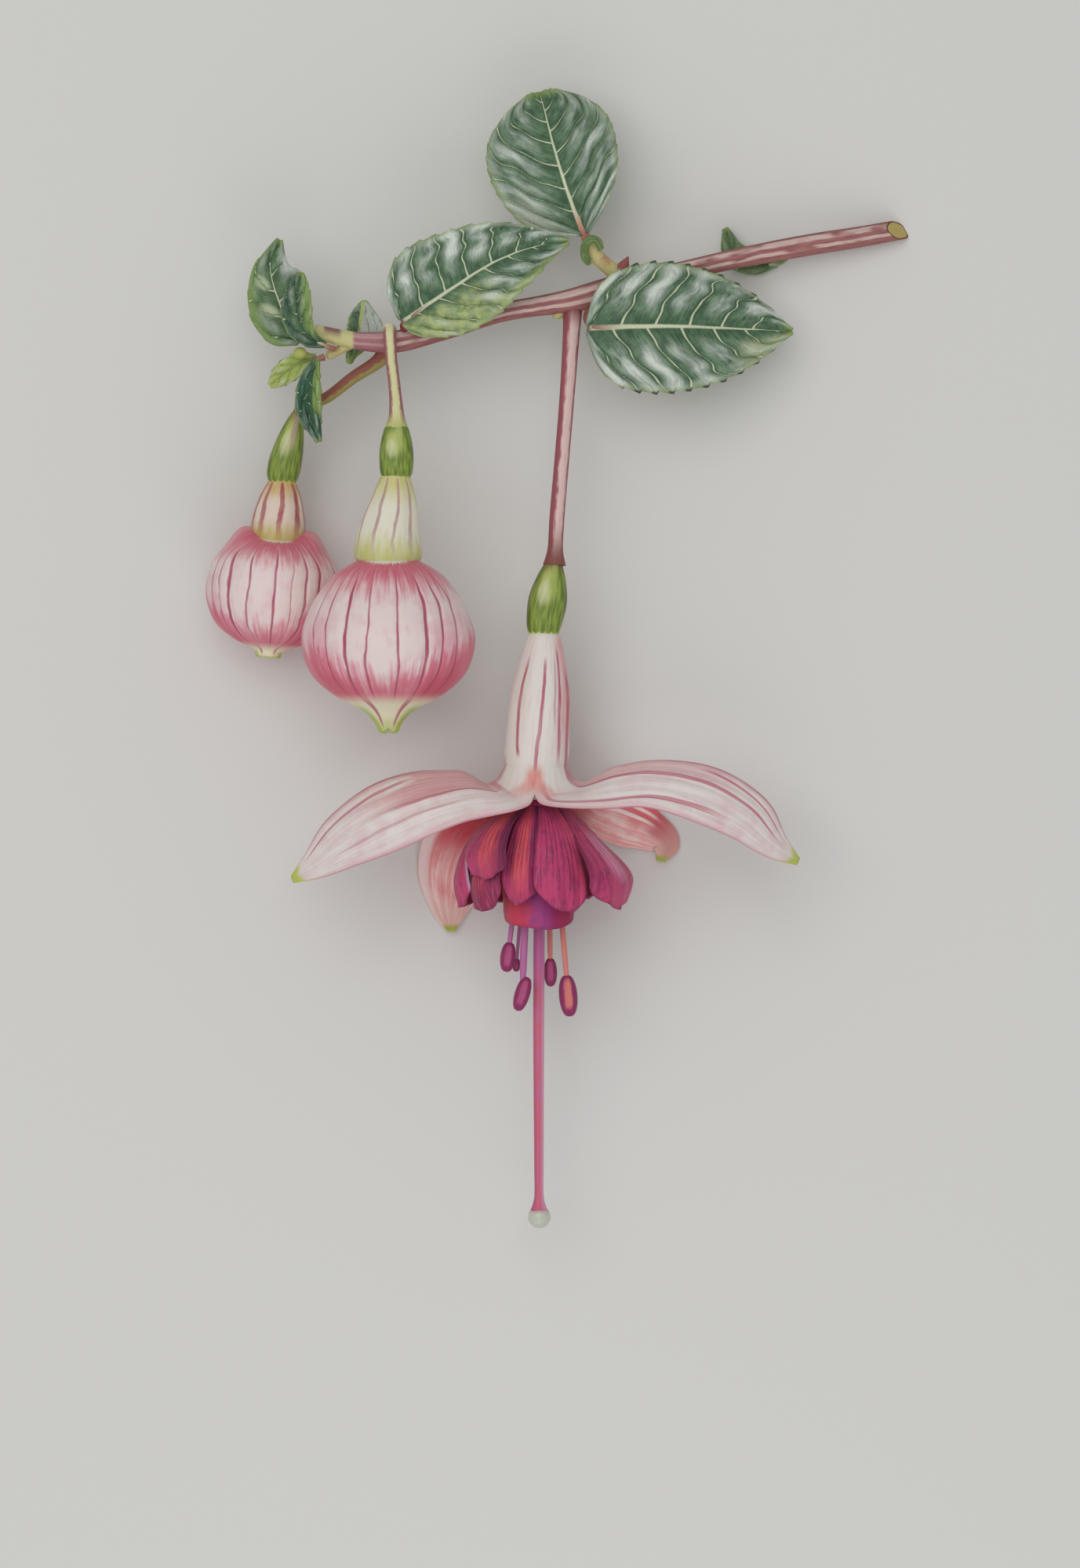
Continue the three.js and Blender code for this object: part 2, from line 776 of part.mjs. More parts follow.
// Petals by their place round the flower's axis (0 right, 90 up) and half spread, both in degrees, their length
// and their distance from the axis at three places. slant is how much longer a petal is at its right margin, and
// round is the share of its length that its rounded end takes.
const PETALS = [
  { angle: 72, spread: 21, length: 15.2, reach: [8.6, 11.2, 10.8], slant: 1.7 },
  { angle: 107, spread: 21, length: 14.8, reach: [7.6, 10, 9.4], slant: -0.7 },
  { angle: 138, spread: 23, length: 11, reach: [9.6, 12.2, 11.4] },
  { angle: 151, spread: 25, length: 16, reach: [8, 10.8, 9.8], slant: -0.4 },
  { angle: 184, spread: 25, length: 15.6, reach: [10.2, 12.6, 11.6] },
  { angle: 225, spread: 30, length: 15, reach: [8.2, 11, 9.8] },
  { angle: 270, spread: 30, length: 14.6, reach: [9.2, 12, 11] },
  { angle: 315, spread: 30, length: 14.2, reach: [8, 10.8, 10.2] },
  { angle: 26, spread: 27, length: 15.6, reach: [8.8, 14.3, 13.4] },
];
const INNER_PETALS = [
  { angle: 90, spread: 64, length: 18.4, reach: [5, 6.2, 6], round: 0.08 },
  { angle: 270, spread: 64, length: 18, reach: [5, 6.2, 6], round: 0.08 },
  { angle: 0, spread: 45, length: 17.8, reach: [4.6, 5.6, 5.5], round: 0.08 },
  { angle: 180, spread: 45, length: 18, reach: [4.6, 5.6, 5.5], round: 0.08 },
];
const PETAL_ROOT = 4.1;

function petal({ angle, spread, length, reach, slant = 0, round = 0.28 }) {
  const radius = through([[0, PETAL_ROOT], [0.3, reach[0]], [0.7, reach[1]], [1, reach[2]]]);
  const fan = through([[0, 0.85], [0.3, 0.92], [0.65, 1], [1, 1]]);
  return blade(
    (s, share) => {
      const t = share * (1 - round * (1 - Math.sqrt(1 - 0.95 * Math.min(s * s, 1))));
      const turn = degrees(angle + spread * s * fan(t));
      const out = radius(t) - 1.3 * t * s * s;
      const down = 0.9 + length * t - slant * s * t ** 3;
      return new THREE.Vector3(
        MOUTH.x + out * Math.cos(turn),
        MOUTH.y - down,
        FLOWER_HEIGHT + out * Math.sin(turn),
      );
    },
    { columns: 4, rows: 6, thickness: PETAL_THICKNESS },
  );
}

// A ring about the flower's axis, from its top face down.
function ring(inner, outer, depth) {
  const outline = [
    [inner, -depth],
    [outer, -depth],
    [outer, 0],
    [inner, 0],
    [inner, -depth],
  ];
  const profile = outline.map(([x, y]) => new THREE.Vector2(x, y));
  return new THREE.LatheGeometry(profile, 16).translate(MOUTH.x, MOUTH.y, FLOWER_HEIGHT);
}

const corolla = () => grown(ring(3, 4.3, 3), ...[...PETALS, ...INNER_PETALS].map(petal));

// Stamens by the middle of each anther and its half length and half width. Three are still inside the corolla.
const STAMENS = [
  { anther: [-7.6, -45.6, 16.6], long: 2.3, wide: 1.15 },
  { anther: [-5.4, -51.2, 17.6], long: 2.7, wide: 1.1 },
  { anther: [-1.1, -48, 13.4], long: 2.2, wide: 1 },
  { anther: [1.6, -51.5, 16.8], long: 3.2, wide: 1.4 },
  { anther: [-6.3, -46.6, 13.2], long: 1.4, wide: 0.8 },
  { anther: [-4.4, -36.5, 12.6], long: 1.8, wide: 0.8 },
  { anther: [-1.2, -35, 18], long: 1.8, wide: 0.8 },
  { anther: [-4.6, -34.5, 18.2], long: 1.8, wide: 0.8 },
];
const HUB_RADIUS = 2;

function stamen({ anther, long, wide }) {
  const middle = vector(anther);
  const turn = Math.atan2(anther[2] - FLOWER_HEIGHT, anther[0] - MOUTH.x);
  const rootX = MOUTH.x + HUB_RADIUS * Math.cos(turn);
  const rootZ = FLOWER_HEIGHT + HUB_RADIUS * Math.sin(turn);
  const root = vector([rootX, MOUTH.y - 0.8, rootZ]);
  const bend = root.clone().lerp(middle, 0.55);
  const filament = bar([root, bend, middle].map((p) => p.toArray()), () => 0.45, { sides: 4, steps: 4 });
  const along = middle.clone().sub(bend).normalize();
  const lie = new THREE.Quaternion().setFromUnitVectors(new THREE.Vector3(0, 1, 0), along);
  const sac = new THREE.SphereGeometry(1, 6, 4).scale(wide, long, wide * 0.8).applyQuaternion(lie);
  return [filament, sac.translate(...anther)];
}

const stamens = () => grown(ring(1.35, 2.6, 1.8), ...STAMENS.flatMap(stamen));

const style = () =>
  bar(
    [
      [MOUTH.x, MOUTH.y, FLOWER_HEIGHT],
      [MOUTH.x, -34, FLOWER_HEIGHT],
      [-2.9, -56, 15],
      [-2.9, -83.3, 13.6],
    ],
    through([[0, 0.8], [0.5, 0.75], [0.9, 0.6], [0.96, 0.65], [1, 0.95]]),
    { sides: 8, steps: 10 },
  );

const stigma = () => new THREE.SphereGeometry(1.75, 10, 8).translate(-2.8, -85.4, 13.5);

const tipBud = () => new THREE.SphereGeometry(1, 8, 6).scale(1.3, 0.9, 0.9).translate(-39.3, 46.5, 16.65);

const sprig = new THREE.Group();

function add(name, geometry, color, roughness) {
  const mesh = new THREE.Mesh(geometry, new THREE.MeshStandardMaterial({ color, roughness, metalness: 0 }));
  mesh.name = name;
  sprig.add(mesh);
}

add("branch", branch(), COLOURS.wood, 0.7);
add("leaf_right", rightLeaf(), COLOURS.leaf, 0.5);
add("leaf_centre", centreLeaf(), COLOURS.leaf, 0.5);
add("leaf_top", topLeaf(), COLOURS.leaf, 0.5);
add("leaf_left", leftLeaf(), COLOURS.leaf, 0.5);
add("leaf_left_inner", innerLeaf(), COLOURS.leaf, 0.5);
add("leaf_lower", lowerLeaf(), COLOURS.youngLeaf, 0.5);
add("leaf_hanging", hangingLeaf(), COLOURS.leaf, 0.5);
add("leaf_behind_stem", behindLeaf(), COLOURS.leaf, 0.5);
add("leaf_back_right", backRightLeaf(), COLOURS.leaf, 0.5);
add("leaf_curled", curledLeaf(), COLOURS.youngLeaf, 0.5);
add("leaf_bud", tipBud(), COLOURS.youngLeaf, 0.5);
add("flower_stalk", flowerStalk(), COLOURS.stalk, 0.55);
add("flower_ovary", flowerOvary(), COLOURS.ovary, 0.4);
add("flower_tube", flowerTube(), COLOURS.calyx, 0.45);
add("sepal_front_left", frontLeftSepal(), COLOURS.calyx, 0.45);
add("sepal_front_right", frontRightSepal(), COLOURS.calyx, 0.45);
add("sepal_back_left", backLeftSepal(), COLOURS.innerSepal, 0.45);
add("sepal_back_right", backRightSepal(), COLOURS.innerSepal, 0.45);
add("corolla", corolla(), COLOURS.corolla, 0.5);
add("stamens", stamens(), COLOURS.stamen, 0.5);
add("style", style(), COLOURS.style, 0.5);
add("stigma", stigma(), COLOURS.stigma, 0.35);
add("large_bud_stalk", largeBudStalk(), COLOURS.paleStalk, 0.55);
add("large_bud_ovary", largeBudOvary(), COLOURS.ovary, 0.4);
add("large_bud_tube", largeBudTube(), COLOURS.calyx, 0.45);
add("large_bud_calyx", largeBudCalyx(), COLOURS.bud, 0.45);
add("small_bud_stalk", smallBudStalk(), COLOURS.stalk, 0.55);
add("small_bud_ovary", smallBudOvary(), COLOURS.ovary, 0.4);
add("small_bud_tube", smallBudTube(), COLOURS.calyx, 0.45);
add("small_bud_calyx", smallBudCalyx(), COLOURS.bud, 0.45);

export default sprig;
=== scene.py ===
"""A cut sprig of a double fuchsia, lying on a pale surface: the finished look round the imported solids.

Shapes are in millimetres, in the row frame: X along the woody stem, Y against the way that the flowers hang,
Z up from the surface. Each finished piece follows the curves and widths of the solid that it replaces. On
every leaf, sepal and petal, s runs across from -1 to 1 and t along from 0 at its foot to 1 at its tip.
"""

import bpy
import numpy as np
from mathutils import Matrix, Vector


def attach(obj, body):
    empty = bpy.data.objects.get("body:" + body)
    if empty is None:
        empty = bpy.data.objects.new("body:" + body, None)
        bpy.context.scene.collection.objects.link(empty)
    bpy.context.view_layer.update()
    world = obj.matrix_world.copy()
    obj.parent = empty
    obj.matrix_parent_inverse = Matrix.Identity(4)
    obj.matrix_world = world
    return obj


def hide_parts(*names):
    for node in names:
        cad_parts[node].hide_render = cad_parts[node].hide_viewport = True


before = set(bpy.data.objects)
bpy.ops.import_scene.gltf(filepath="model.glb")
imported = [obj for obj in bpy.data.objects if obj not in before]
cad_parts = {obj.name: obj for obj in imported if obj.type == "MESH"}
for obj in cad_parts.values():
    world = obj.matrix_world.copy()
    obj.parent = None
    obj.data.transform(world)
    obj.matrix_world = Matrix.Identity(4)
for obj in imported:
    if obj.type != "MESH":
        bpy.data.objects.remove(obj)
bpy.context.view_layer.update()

MM = 0.001
UP = np.array([0.0, 0.0, 1.0])
FLOWER_HEIGHT = 15.5  # of the open flower's axis above the surface
MOUTH = (-2.8, -21.6)  # x and y of the point where the corolla starts under the floral tube
SURFACE = "Surface"  # the UV map that holds s and t, or turns and t on a round piece
NEAR = 1e-3  # a short step along a curve or a surface
CURVE_SAMPLES = 801


# Numbers that shapes and materials share.


class Value:
    """A number inside a material's node tree. It takes Python's arithmetic."""

    def __init__(self, look, socket):
        self.look = look
        self.socket = socket

    def math(self, operation, *others, swap=False):
        terms = (*others, self) if swap else (self, *others)
        node = self.look.node("ShaderNodeMath", *terms, operation=operation)
        return Value(self.look, node.outputs[0])

    def __add__(self, other):
        return self.math("ADD", other)

    def __sub__(self, other):
        return self.math("SUBTRACT", other)

    def __rsub__(self, other):
        return self.math("SUBTRACT", other, swap=True)

    def __mul__(self, other):
        return self.math("MULTIPLY", other)

    def __truediv__(self, other):
        return self.math("DIVIDE", other)

    def __pow__(self, other):
        return self.math("POWER", other)

    def __abs__(self):
        return self.math("ABSOLUTE")

    def __neg__(self):
        return self * -1

    __rmul__ = __mul__

    def clamped(self):
        return self.math("MINIMUM", 1).math("MAXIMUM", 0)


def sine(x):
    return x.math("SINE") if isinstance(x, Value) else np.sin(x)


def above(x, least):
    """1 where x is over least, and 0 elsewhere."""
    return x.math("GREATER_THAN", least) if isinstance(x, Value) else (x > least).astype(float)


def fraction(x):
    return x.math("FRACT") if isinstance(x, Value) else np.mod(x, 1)


def step(x, low, high):
    """0 up to low, 1 from high on, and smooth between them. low may be the larger one."""
    if isinstance(x, Value):
        node = x.look.node("ShaderNodeMapRange", x, low, high, interpolation_type="SMOOTHSTEP")
        return Value(x.look, node.outputs[0])
    share = np.clip((x - low) / (high - low), 0, 1)
    return share * share * (3 - 2 * share)


def through(pairs):
    """A smooth function that passes through (place, value) pairs."""
    x, y = np.array(pairs, float).T
    last = len(x) - 1
    near = np.arange(len(x))
    after, before = np.minimum(near + 1, last), np.maximum(near - 1, 0)
    slope = (y[after] - y[before]) / (x[after] - x[before])

    def value(place):
        i = np.clip(np.searchsorted(x, place) - 1, 0, last - 1)
        span = x[i + 1] - x[i]
        u = np.clip((place - x[i]) / span, 0, 1)
        rise = u * u * (3 - 2 * u)
        leave = u * (1 - u) ** 2 * slope[i]
        arrive = u * u * (1 - u) * slope[i + 1]
        return y[i] + (y[i + 1] - y[i]) * rise + span * (leave - arrive)

    return value


def most(first, *others):
    """The highest of several numbers in a node tree."""
    for other in others:
        first = first.math("MAXIMUM", other)
    return first


def unit(vectors):
    return vectors / np.linalg.norm(vectors, axis=-1, keepdims=True)


class Path:
    """A smooth curve through points, read by the share t of its length."""

    def __init__(self, points):
        self.points = np.array(points, float)
        self.fine = np.linspace(0, 1, CURVE_SAMPLES)
        steps = np.linalg.norm(np.diff(self.raw(self.fine), axis=0), axis=1)
        lengths = np.concatenate([[0], np.cumsum(steps)])
        self.length = lengths[-1]
        self.share = lengths / self.length

    def raw(self, u):
        """The centripetal Catmull-Rom curve by its own parameter."""
        p = self.points
        padded = np.vstack([2 * p[0] - p[1], p, 2 * p[-1] - p[-2]])
        spans = len(p) - 1
        place = np.clip(u * spans, 0, spans - 1e-9)
        i = place.astype(int)
        w = (place - i)[..., None]
        p0, p1, p2, p3 = (padded[i + k] for k in range(4))
        pairs = ((p0, p1), (p1, p2), (p2, p3))
        gaps = (np.linalg.norm(b - a, axis=-1, keepdims=True) for a, b in pairs)
        d0, d1, d2 = (np.sqrt(np.maximum(gap, 1e-6)) for gap in gaps)
        leave = ((p1 - p0) / d0 - (p2 - p0) / (d0 + d1) + (p2 - p1) / d1) * d1
        arrive = ((p2 - p1) / d1 - (p3 - p1) / (d1 + d2) + (p3 - p2) / d2) * d1
        square, cube = (3 * (p2 - p1) - 2 * leave - arrive), (2 * (p1 - p2) + leave + arrive)
        return p1 + leave * w + square * w**2 + cube * w**3

    def at(self, t):
        return self.raw(np.interp(t, self.share, self.fine))

    def along(self, t):
        return unit(self.at(np.minimum(t + NEAR, 1)) - self.at(np.maximum(t - NEAR, 0)))


# Meshes.


class Shell:
    """A closed surface: its corners and faces, a UV pair for each face corner, and numbers at its corners."""

    def __init__(self, places, faces, uv, **fields):
        self.places = places
        self.faces = faces
        self.uv = uv
        self.fields = fields


def grid_quads(rows, columns):
    row, column = np.meshgrid(np.arange(rows - 1), np.arange(columns - 1), indexing="ij")
    first = (row * columns + column).ravel()
    return np.stack([first, first + 1, first + columns + 1, first + columns], 1)


def rim_of(rows, columns):
    """The corners round a grid, in the order in which its front faces meet them."""
    corner = np.arange(rows * columns).reshape(rows, columns)
    return np.concatenate([corner[0, :-1], corner[:-1, -1], corner[-1, :0:-1], corner[:0:-1, 0]])


THINNER_MARGIN = 0.5  # the share of a blade's thickness that is gone at its margin


def blade(surface, grid, thickness, **fields):
    """A thin closed blade about the middle surface(s, t), with a thinner margin."""
    columns, rows = grid
    s, t = np.meshgrid(np.linspace(-1, 1, columns + 1), np.linspace(0, 1, rows + 1))
    middle = surface(s, t)
    across = surface(s + NEAR, t) - surface(s - NEAR, t)
    along = surface(s, np.minimum(t + NEAR, 1)) - surface(s, np.maximum(t - NEAR, 0))
    half = thickness / 2 * (1 - THINNER_MARGIN * np.abs(s) ** 10)
    normal = unit(np.cross(across, along)) * half[..., None]
    count = s.size
    places = np.concatenate([(middle + normal).reshape(-1, 3), (middle - normal).reshape(-1, 3)])
    places[:, 2] = np.maximum(places[:, 2], 0)
    front = grid_quads(rows + 1, columns + 1)
    rim = rim_of(rows + 1, columns + 1)
    after = np.roll(rim, -1)
    edge = np.stack([rim, rim + count, after + count, after], 1)
    faces = np.concatenate([front, front[:, ::-1] + count, edge])
    flat = np.stack([(s + 1) / 2, t], -1).reshape(-1, 2)
    uv = np.concatenate([flat, flat])[faces].reshape(-1, 2)
    reach = np.linalg.norm(middle - surface(0 * s, t), axis=-1) * np.sign(s)
    fields["reach"] = np.tile(reach.ravel(), 2)
    fields["under"] = np.repeat([0.0, 1.0], count)
    return Shell(places, faces.tolist(), uv, **fields)


CAP_RINGS = np.array([0.3, 0.6, 0.85, 0.96])  # of a bar's rounded ends, as shares of its radius


def bar_faces(t, sides):
    """The faces of a bar whose two poles come last, and their UV pairs: turns round it, and t."""
    count = len(t) * sides
    row, column = np.meshgrid(np.arange(len(t) - 1), np.arange(sides), indexing="ij")
    row, column = row.ravel(), column.ravel()
    after = (column + 1) % sides
    base, top = row * sides, (row + 1) * sides
    quads = np.stack([base + column, top + column, top + after, base + after], 1)
    here, there = column / sides, (column + 1) / sides
    quad_uv = np.stack([here, t[row], here, t[row + 1], there, t[row + 1], there, t[row]], 1)
    first, last = np.arange(sides), (len(t) - 1) * sides + np.arange(sides)
    foot = np.stack([np.full(sides, count), first, np.roll(first, -1)], 1)
    head = np.stack([np.full(sides, count + 1), np.roll(last, -1), last], 1)
    u = np.arange(sides) / sides
    nought, one = 0 * u, 0 * u + 1
    foot_uv = np.stack([u, nought, u, nought, u + 1 / sides, nought], 1)
    head_uv = np.stack([u, one, u + 1 / sides, one, u, one], 1)
    uv = np.concatenate([quad_uv.reshape(-1, 2), foot_uv.reshape(-1, 2), head_uv.reshape(-1, 2)])
    return [*quads.tolist(), *foot.tolist(), *head.tolist()], uv


def bar(points, radius, sides=32, steps=60, relief=None, bulge=(0, 0), slide=None, **fields):
    """A closed bar along a smooth curve. relief(angle, t) scales radius(t), slide(angle, t) moves a point
    along it, and bulge is how far each end stands out. 90 degrees faces up. Nothing reaches below z 0."""
    path = Path(points)
    domes = np.sqrt(1 - CAP_RINGS**2)
    body = np.linspace(0, 1, steps + 1)
    t = np.concatenate([0 * domes, body, 1 + 0 * domes])
    out = np.concatenate([CAP_RINGS, 1 + 0 * body, CAP_RINGS[::-1]])
    push = np.concatenate([-bulge[0] * domes, 0 * body, bulge[1] * domes[::-1]])
    angle = np.linspace(0, 2 * np.pi, sides + 1)[:-1]
    along = path.along(t)
    side = unit(np.cross(along, UP))
    over = np.cross(side, along)
    turned, rows = np.meshgrid(angle, t)
    reach = (radius(t) * out)[:, None] * (relief(turned, rows) if relief else 1)
    centre = path.at(t) + along * push[:, None]
    ring = side[:, None] * np.cos(turned)[..., None] + over[:, None] * np.sin(turned)[..., None]
    places = centre[:, None] + ring * reach[..., None]
    if slide:
        places += along[:, None] * slide(turned, rows)[..., None]
    start, end = np.array(0), np.array(1)
    poles = [path.at(start) - path.along(start) * bulge[0], path.at(end) + path.along(end) * bulge[1]]
    places = np.concatenate([places.reshape(-1, 3), poles])
    places[:, 2] = np.maximum(places[:, 2], 0)
    fields["out"] = np.concatenate([np.repeat(out, sides), [0, 0]])
    return Shell(places, *bar_faces(t, sides), **fields)


def piece(name, shells, look, slot, *nodes):
    """One finished piece made of closed shells. It stands for nodes and rides with the sprig."""
    places, faces, count = [], [], 0
    for shell in shells:
        places.append(shell.places)
        faces += [[corner + count for corner in face] for face in shell.faces]
        count += len(shell.places)
    mesh = bpy.data.meshes.new(name)
    mesh.from_pydata((np.concatenate(places) * MM).tolist(), [], faces)
    uv = mesh.uv_layers.new(name=SURFACE)
    uv.uv.foreach_set("vector", np.concatenate([shell.uv for shell in shells]).astype(np.float32).ravel())
    for field in sorted({key for shell in shells for key in shell.fields}):
        values = [np.broadcast_to(shell.fields.get(field, 0.0), len(shell.places)) for shell in shells]
        attribute = mesh.attributes.new(field, "FLOAT", "POINT")
        attribute.data.foreach_set("value", np.concatenate(values).astype(np.float32))
    mesh.shade_smooth()
    mesh.materials.append(look)
    made = bpy.data.objects.new(name, mesh)
    bpy.context.scene.collection.objects.link(made)
    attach(made, "root")
    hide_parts(*nodes)


# Materials.


def tone(red, green, blue):
    """A linear colour from screen values of 0 to 255."""
    share = np.array([red, green, blue]) / 255
    linear = np.where(share <= 0.04045, share / 12.92, ((share + 0.055) / 1.055) ** 2.4)
    return (*map(float, linear), 1.0)


class Look:
    """A procedural material. Sizes are in millimetres."""

    def __init__(self, name, **shader):
        self.material = bpy.data.materials.new(name)
        self.material.use_nodes = True
        self.tree = self.material.node_tree
        self.shader = self.tree.nodes["Principled BSDF"]
        for socket, value in shader.items():
            self.shader.inputs[socket.replace("_", " ").title().replace("Ior", "IOR")].default_value = value
        surface = self.tree.nodes.new("ShaderNodeUVMap")
        surface.uv_map = SURFACE
        split = self.node("ShaderNodeSeparateXYZ", surface.outputs[0])
        self.u, self.t = (Value(self, split.outputs[i]) for i in range(2))
        self.s = self.u * 2 - 1
        self.coordinates = self.tree.nodes.new("ShaderNodeTexCoord").outputs["Object"]
        place = self.node("ShaderNodeSeparateXYZ", self.coordinates)
        self.x, self.y, self.z = (Value(self, place.outputs[i]) / MM for i in range(3))

    def feed(self, socket, source):
        if isinstance(source, Value):
            source = source.socket
        if isinstance(source, bpy.types.NodeSocket):
            self.tree.links.new(source, socket)
        else:
            socket.default_value = source

    def node(self, kind, *inputs, **settings):
        node = self.tree.nodes.new(kind)
        for name, value in settings.items():
            setattr(node, name, value)
        for socket, source in zip(node.inputs, inputs):
            self.feed(socket, source)
        return node

    def field(self, name):
        node = self.node("ShaderNodeAttribute", attribute_name=name)
        return Value(self, node.outputs["Fac"])

    def texture(self, kind, at, **inputs):
        """A texture over the place at, with lumps one unit wide."""
        node = self.tree.nodes.new(kind)
        self.feed(node.inputs["Vector"], at)
        for name, value in {"Scale": 1, **inputs}.items():
            node.inputs[name].default_value = value
        return node

    def lumps(self, size):
        """The place on the object, counted in lumps of size."""
        scale = (1 / (size * MM),) * 3
        return self.node("ShaderNodeVectorMath", self.coordinates, scale, operation="MULTIPLY").outputs[0]

    def noise(self, size, detail=2):
        """Cloudy noise from 0 to 1 over the object."""
        return Value(self, self.texture("ShaderNodeTexNoise", self.lumps(size), Detail=detail).outputs["Fac"])

    def strokes(self, along, across, detail=3, seed=0):
        """Cloudy noise from 0 to 1 over two numbers: strokes along the one that grows more slowly."""
        at = self.node("ShaderNodeCombineXYZ", along, across, seed).outputs[0]
        return Value(self, self.texture("ShaderNodeTexNoise", at, Detail=detail).outputs["Fac"])

    def cells(self, size):
        """Distance from the nearest edge between cells of size, as a share of it."""
        node = self.texture("ShaderNodeTexVoronoi", self.lumps(size))
        node.feature = "DISTANCE_TO_EDGE"
        return Value(self, node.outputs["Distance"])

    def mix(self, below, cover, share):
        """The colour below, covered where share is 1. A colour is a socket or three screen values."""
        node = self.tree.nodes.new("ShaderNodeMix")
        node.data_type = "RGBA"
        node.clamp_factor = True
        self.feed(node.inputs[0], share)
        for socket, colour in ((node.inputs[6], below), (node.inputs[7], cover)):
            self.feed(socket, tone(*colour) if isinstance(colour, tuple) else colour)
        return node.outputs[2]

    def paint(self, cover, share):
        """Covers the look's colour with another where share is 1."""
        self.colour = self.mix(self.colour, cover, share)

    def finish(self, roughness, height, depth=0.1):
        """Sets what varies over the surface: its colour, its roughness and, up to depth, its height."""
        bump = self.tree.nodes.new("ShaderNodeBump")
        bump.inputs["Strength"].default_value = 1
        bump.inputs["Distance"].default_value = depth * MM
        self.feed(bump.inputs["Height"], height)
        varied = {"Base Color": self.colour, "Roughness": roughness, "Normal": bump.outputs[0]}
        for name, source in varied.items():
            self.feed(self.shader.inputs[name], source)
        return self.material


TISSUE = {"sheen_weight": 0.1, "subsurface_weight": 0.1, "subsurface_scale": 0.002}  # of sepals and buds


def line(distance, width):
    """1 on a line of that half width, fading just outside it."""
    return 1 - step(distance, width * 0.5, width)


def lines(place, marks, taper=1.0):
    """Lines at their places: each mark is (place, half width, strength)."""
    highest = 0
    for at, width, strength in marks:
        share = line(abs(place - at), width * taper) * strength
        highest = share.math("MAXIMUM", highest)
    return highest


def folded(turns):
    """Degrees round a hanging piece, from 0 at its left to 180 at its right, on its front and its back."""
    return 180 - abs(turns * 360 - 180)


# Leaves.


class Veins:
    """A leaf's side veins: how many there are along it, how far on the right ones stand, as a share of the
    space between two, and how far the left and right ones lean to the tip, as a share of its length."""

    def __init__(self, count, shift, lean=(0.3, 0.3)):
        self.count = count
        self.shift = shift
        self.lean = lean

    def phase(self, s, t):
        """Counts the veins from the leaf's foot: a whole number lies on a vein."""
        across, right = abs(s), above(s, 0.0)
        lean = right * (self.lean[1] - self.lean[0]) + self.lean[0]
        waver = (0.11 * sine(across * 9 + t * 11) + 0.07 * sine(across * 23 - t * 17)) * across
        return (t - lean * (across + 1e-4) ** 1.35) * self.count + self.shift * right + waver


def leaf_surface(spec):
    """The middle surface of a leaf or sepal about its midrib: bent back by arch, folded up by fold, with the
    relief and the edge that its spec names."""
    path = Path(spec["spine"])
    first = np.array(spec.get("facing", UP), float)
    last = np.array(spec.get("to", first), float)
    left = through(spec["left"])
    right = through(spec.get("right", spec["left"]))
    arch, fold = spec.get("arch", 0), spec.get("fold", 0)
    relief, edge = spec.get("relief"), spec.get("edge")

    def surface(s, t):
        along = path.along(t)
        turn = step(t, 0, 0.6)[..., None]
        side = unit(np.cross(along, first + (last - first) * turn))
        over = np.cross(side, along)
        half = np.where(s < 0, left(t), right(t))
        margin = edge(t) * np.sign(s) * s**8 if edge else 0
        reach = s * half + margin
        lift = fold * np.abs(reach) - arch * reach**2
        if relief:
            lift = lift + relief(s, t, reach)
        return path.at(t) + side * reach[..., None] + over * lift[..., None]

    return surface


def teeth(count, depth):
    """Hooked teeth that point to the tip."""

    def edge(t):
        tooth = fraction(t * count)
        fade = np.clip(np.minimum(6 * t, 6 * (1 - t)), 0, 1)
        return depth * (tooth**1.5 - 0.35 * step(tooth, 0.86, 1)) * fade

    return edge


def quilt(veins, height):
    """The quilted face of a leaf, puffed up between the veins and grooved along them."""

    def relief(s, t, reach):
        across = np.abs(s)
        puff = np.abs(np.sin(np.pi * veins.phase(s, t)))
        groove = 0.2 * np.exp(-((reach / 0.5) ** 2))
        wave = 0.35 * np.sin(9 * t + 2 * s) * across**3 * np.sin(np.pi * t)
        return height * puff * np.sin(np.pi * np.minimum(across, 0.97)) - groove * (1 - t) + wave

    return relief


LEAF = {
    "dark": (62, 92, 66),
    "middle": (110, 142, 108),
    # The tone of the painted highlights in the middle of each puffed field, also used for a pale band near
    # the margin.
    "light": (218, 226, 214),
    "vein": (218, 222, 188),
    "foot": (170, 120, 98),
    "margin": (142, 164, 88),
    "back": (160, 178, 142),
}


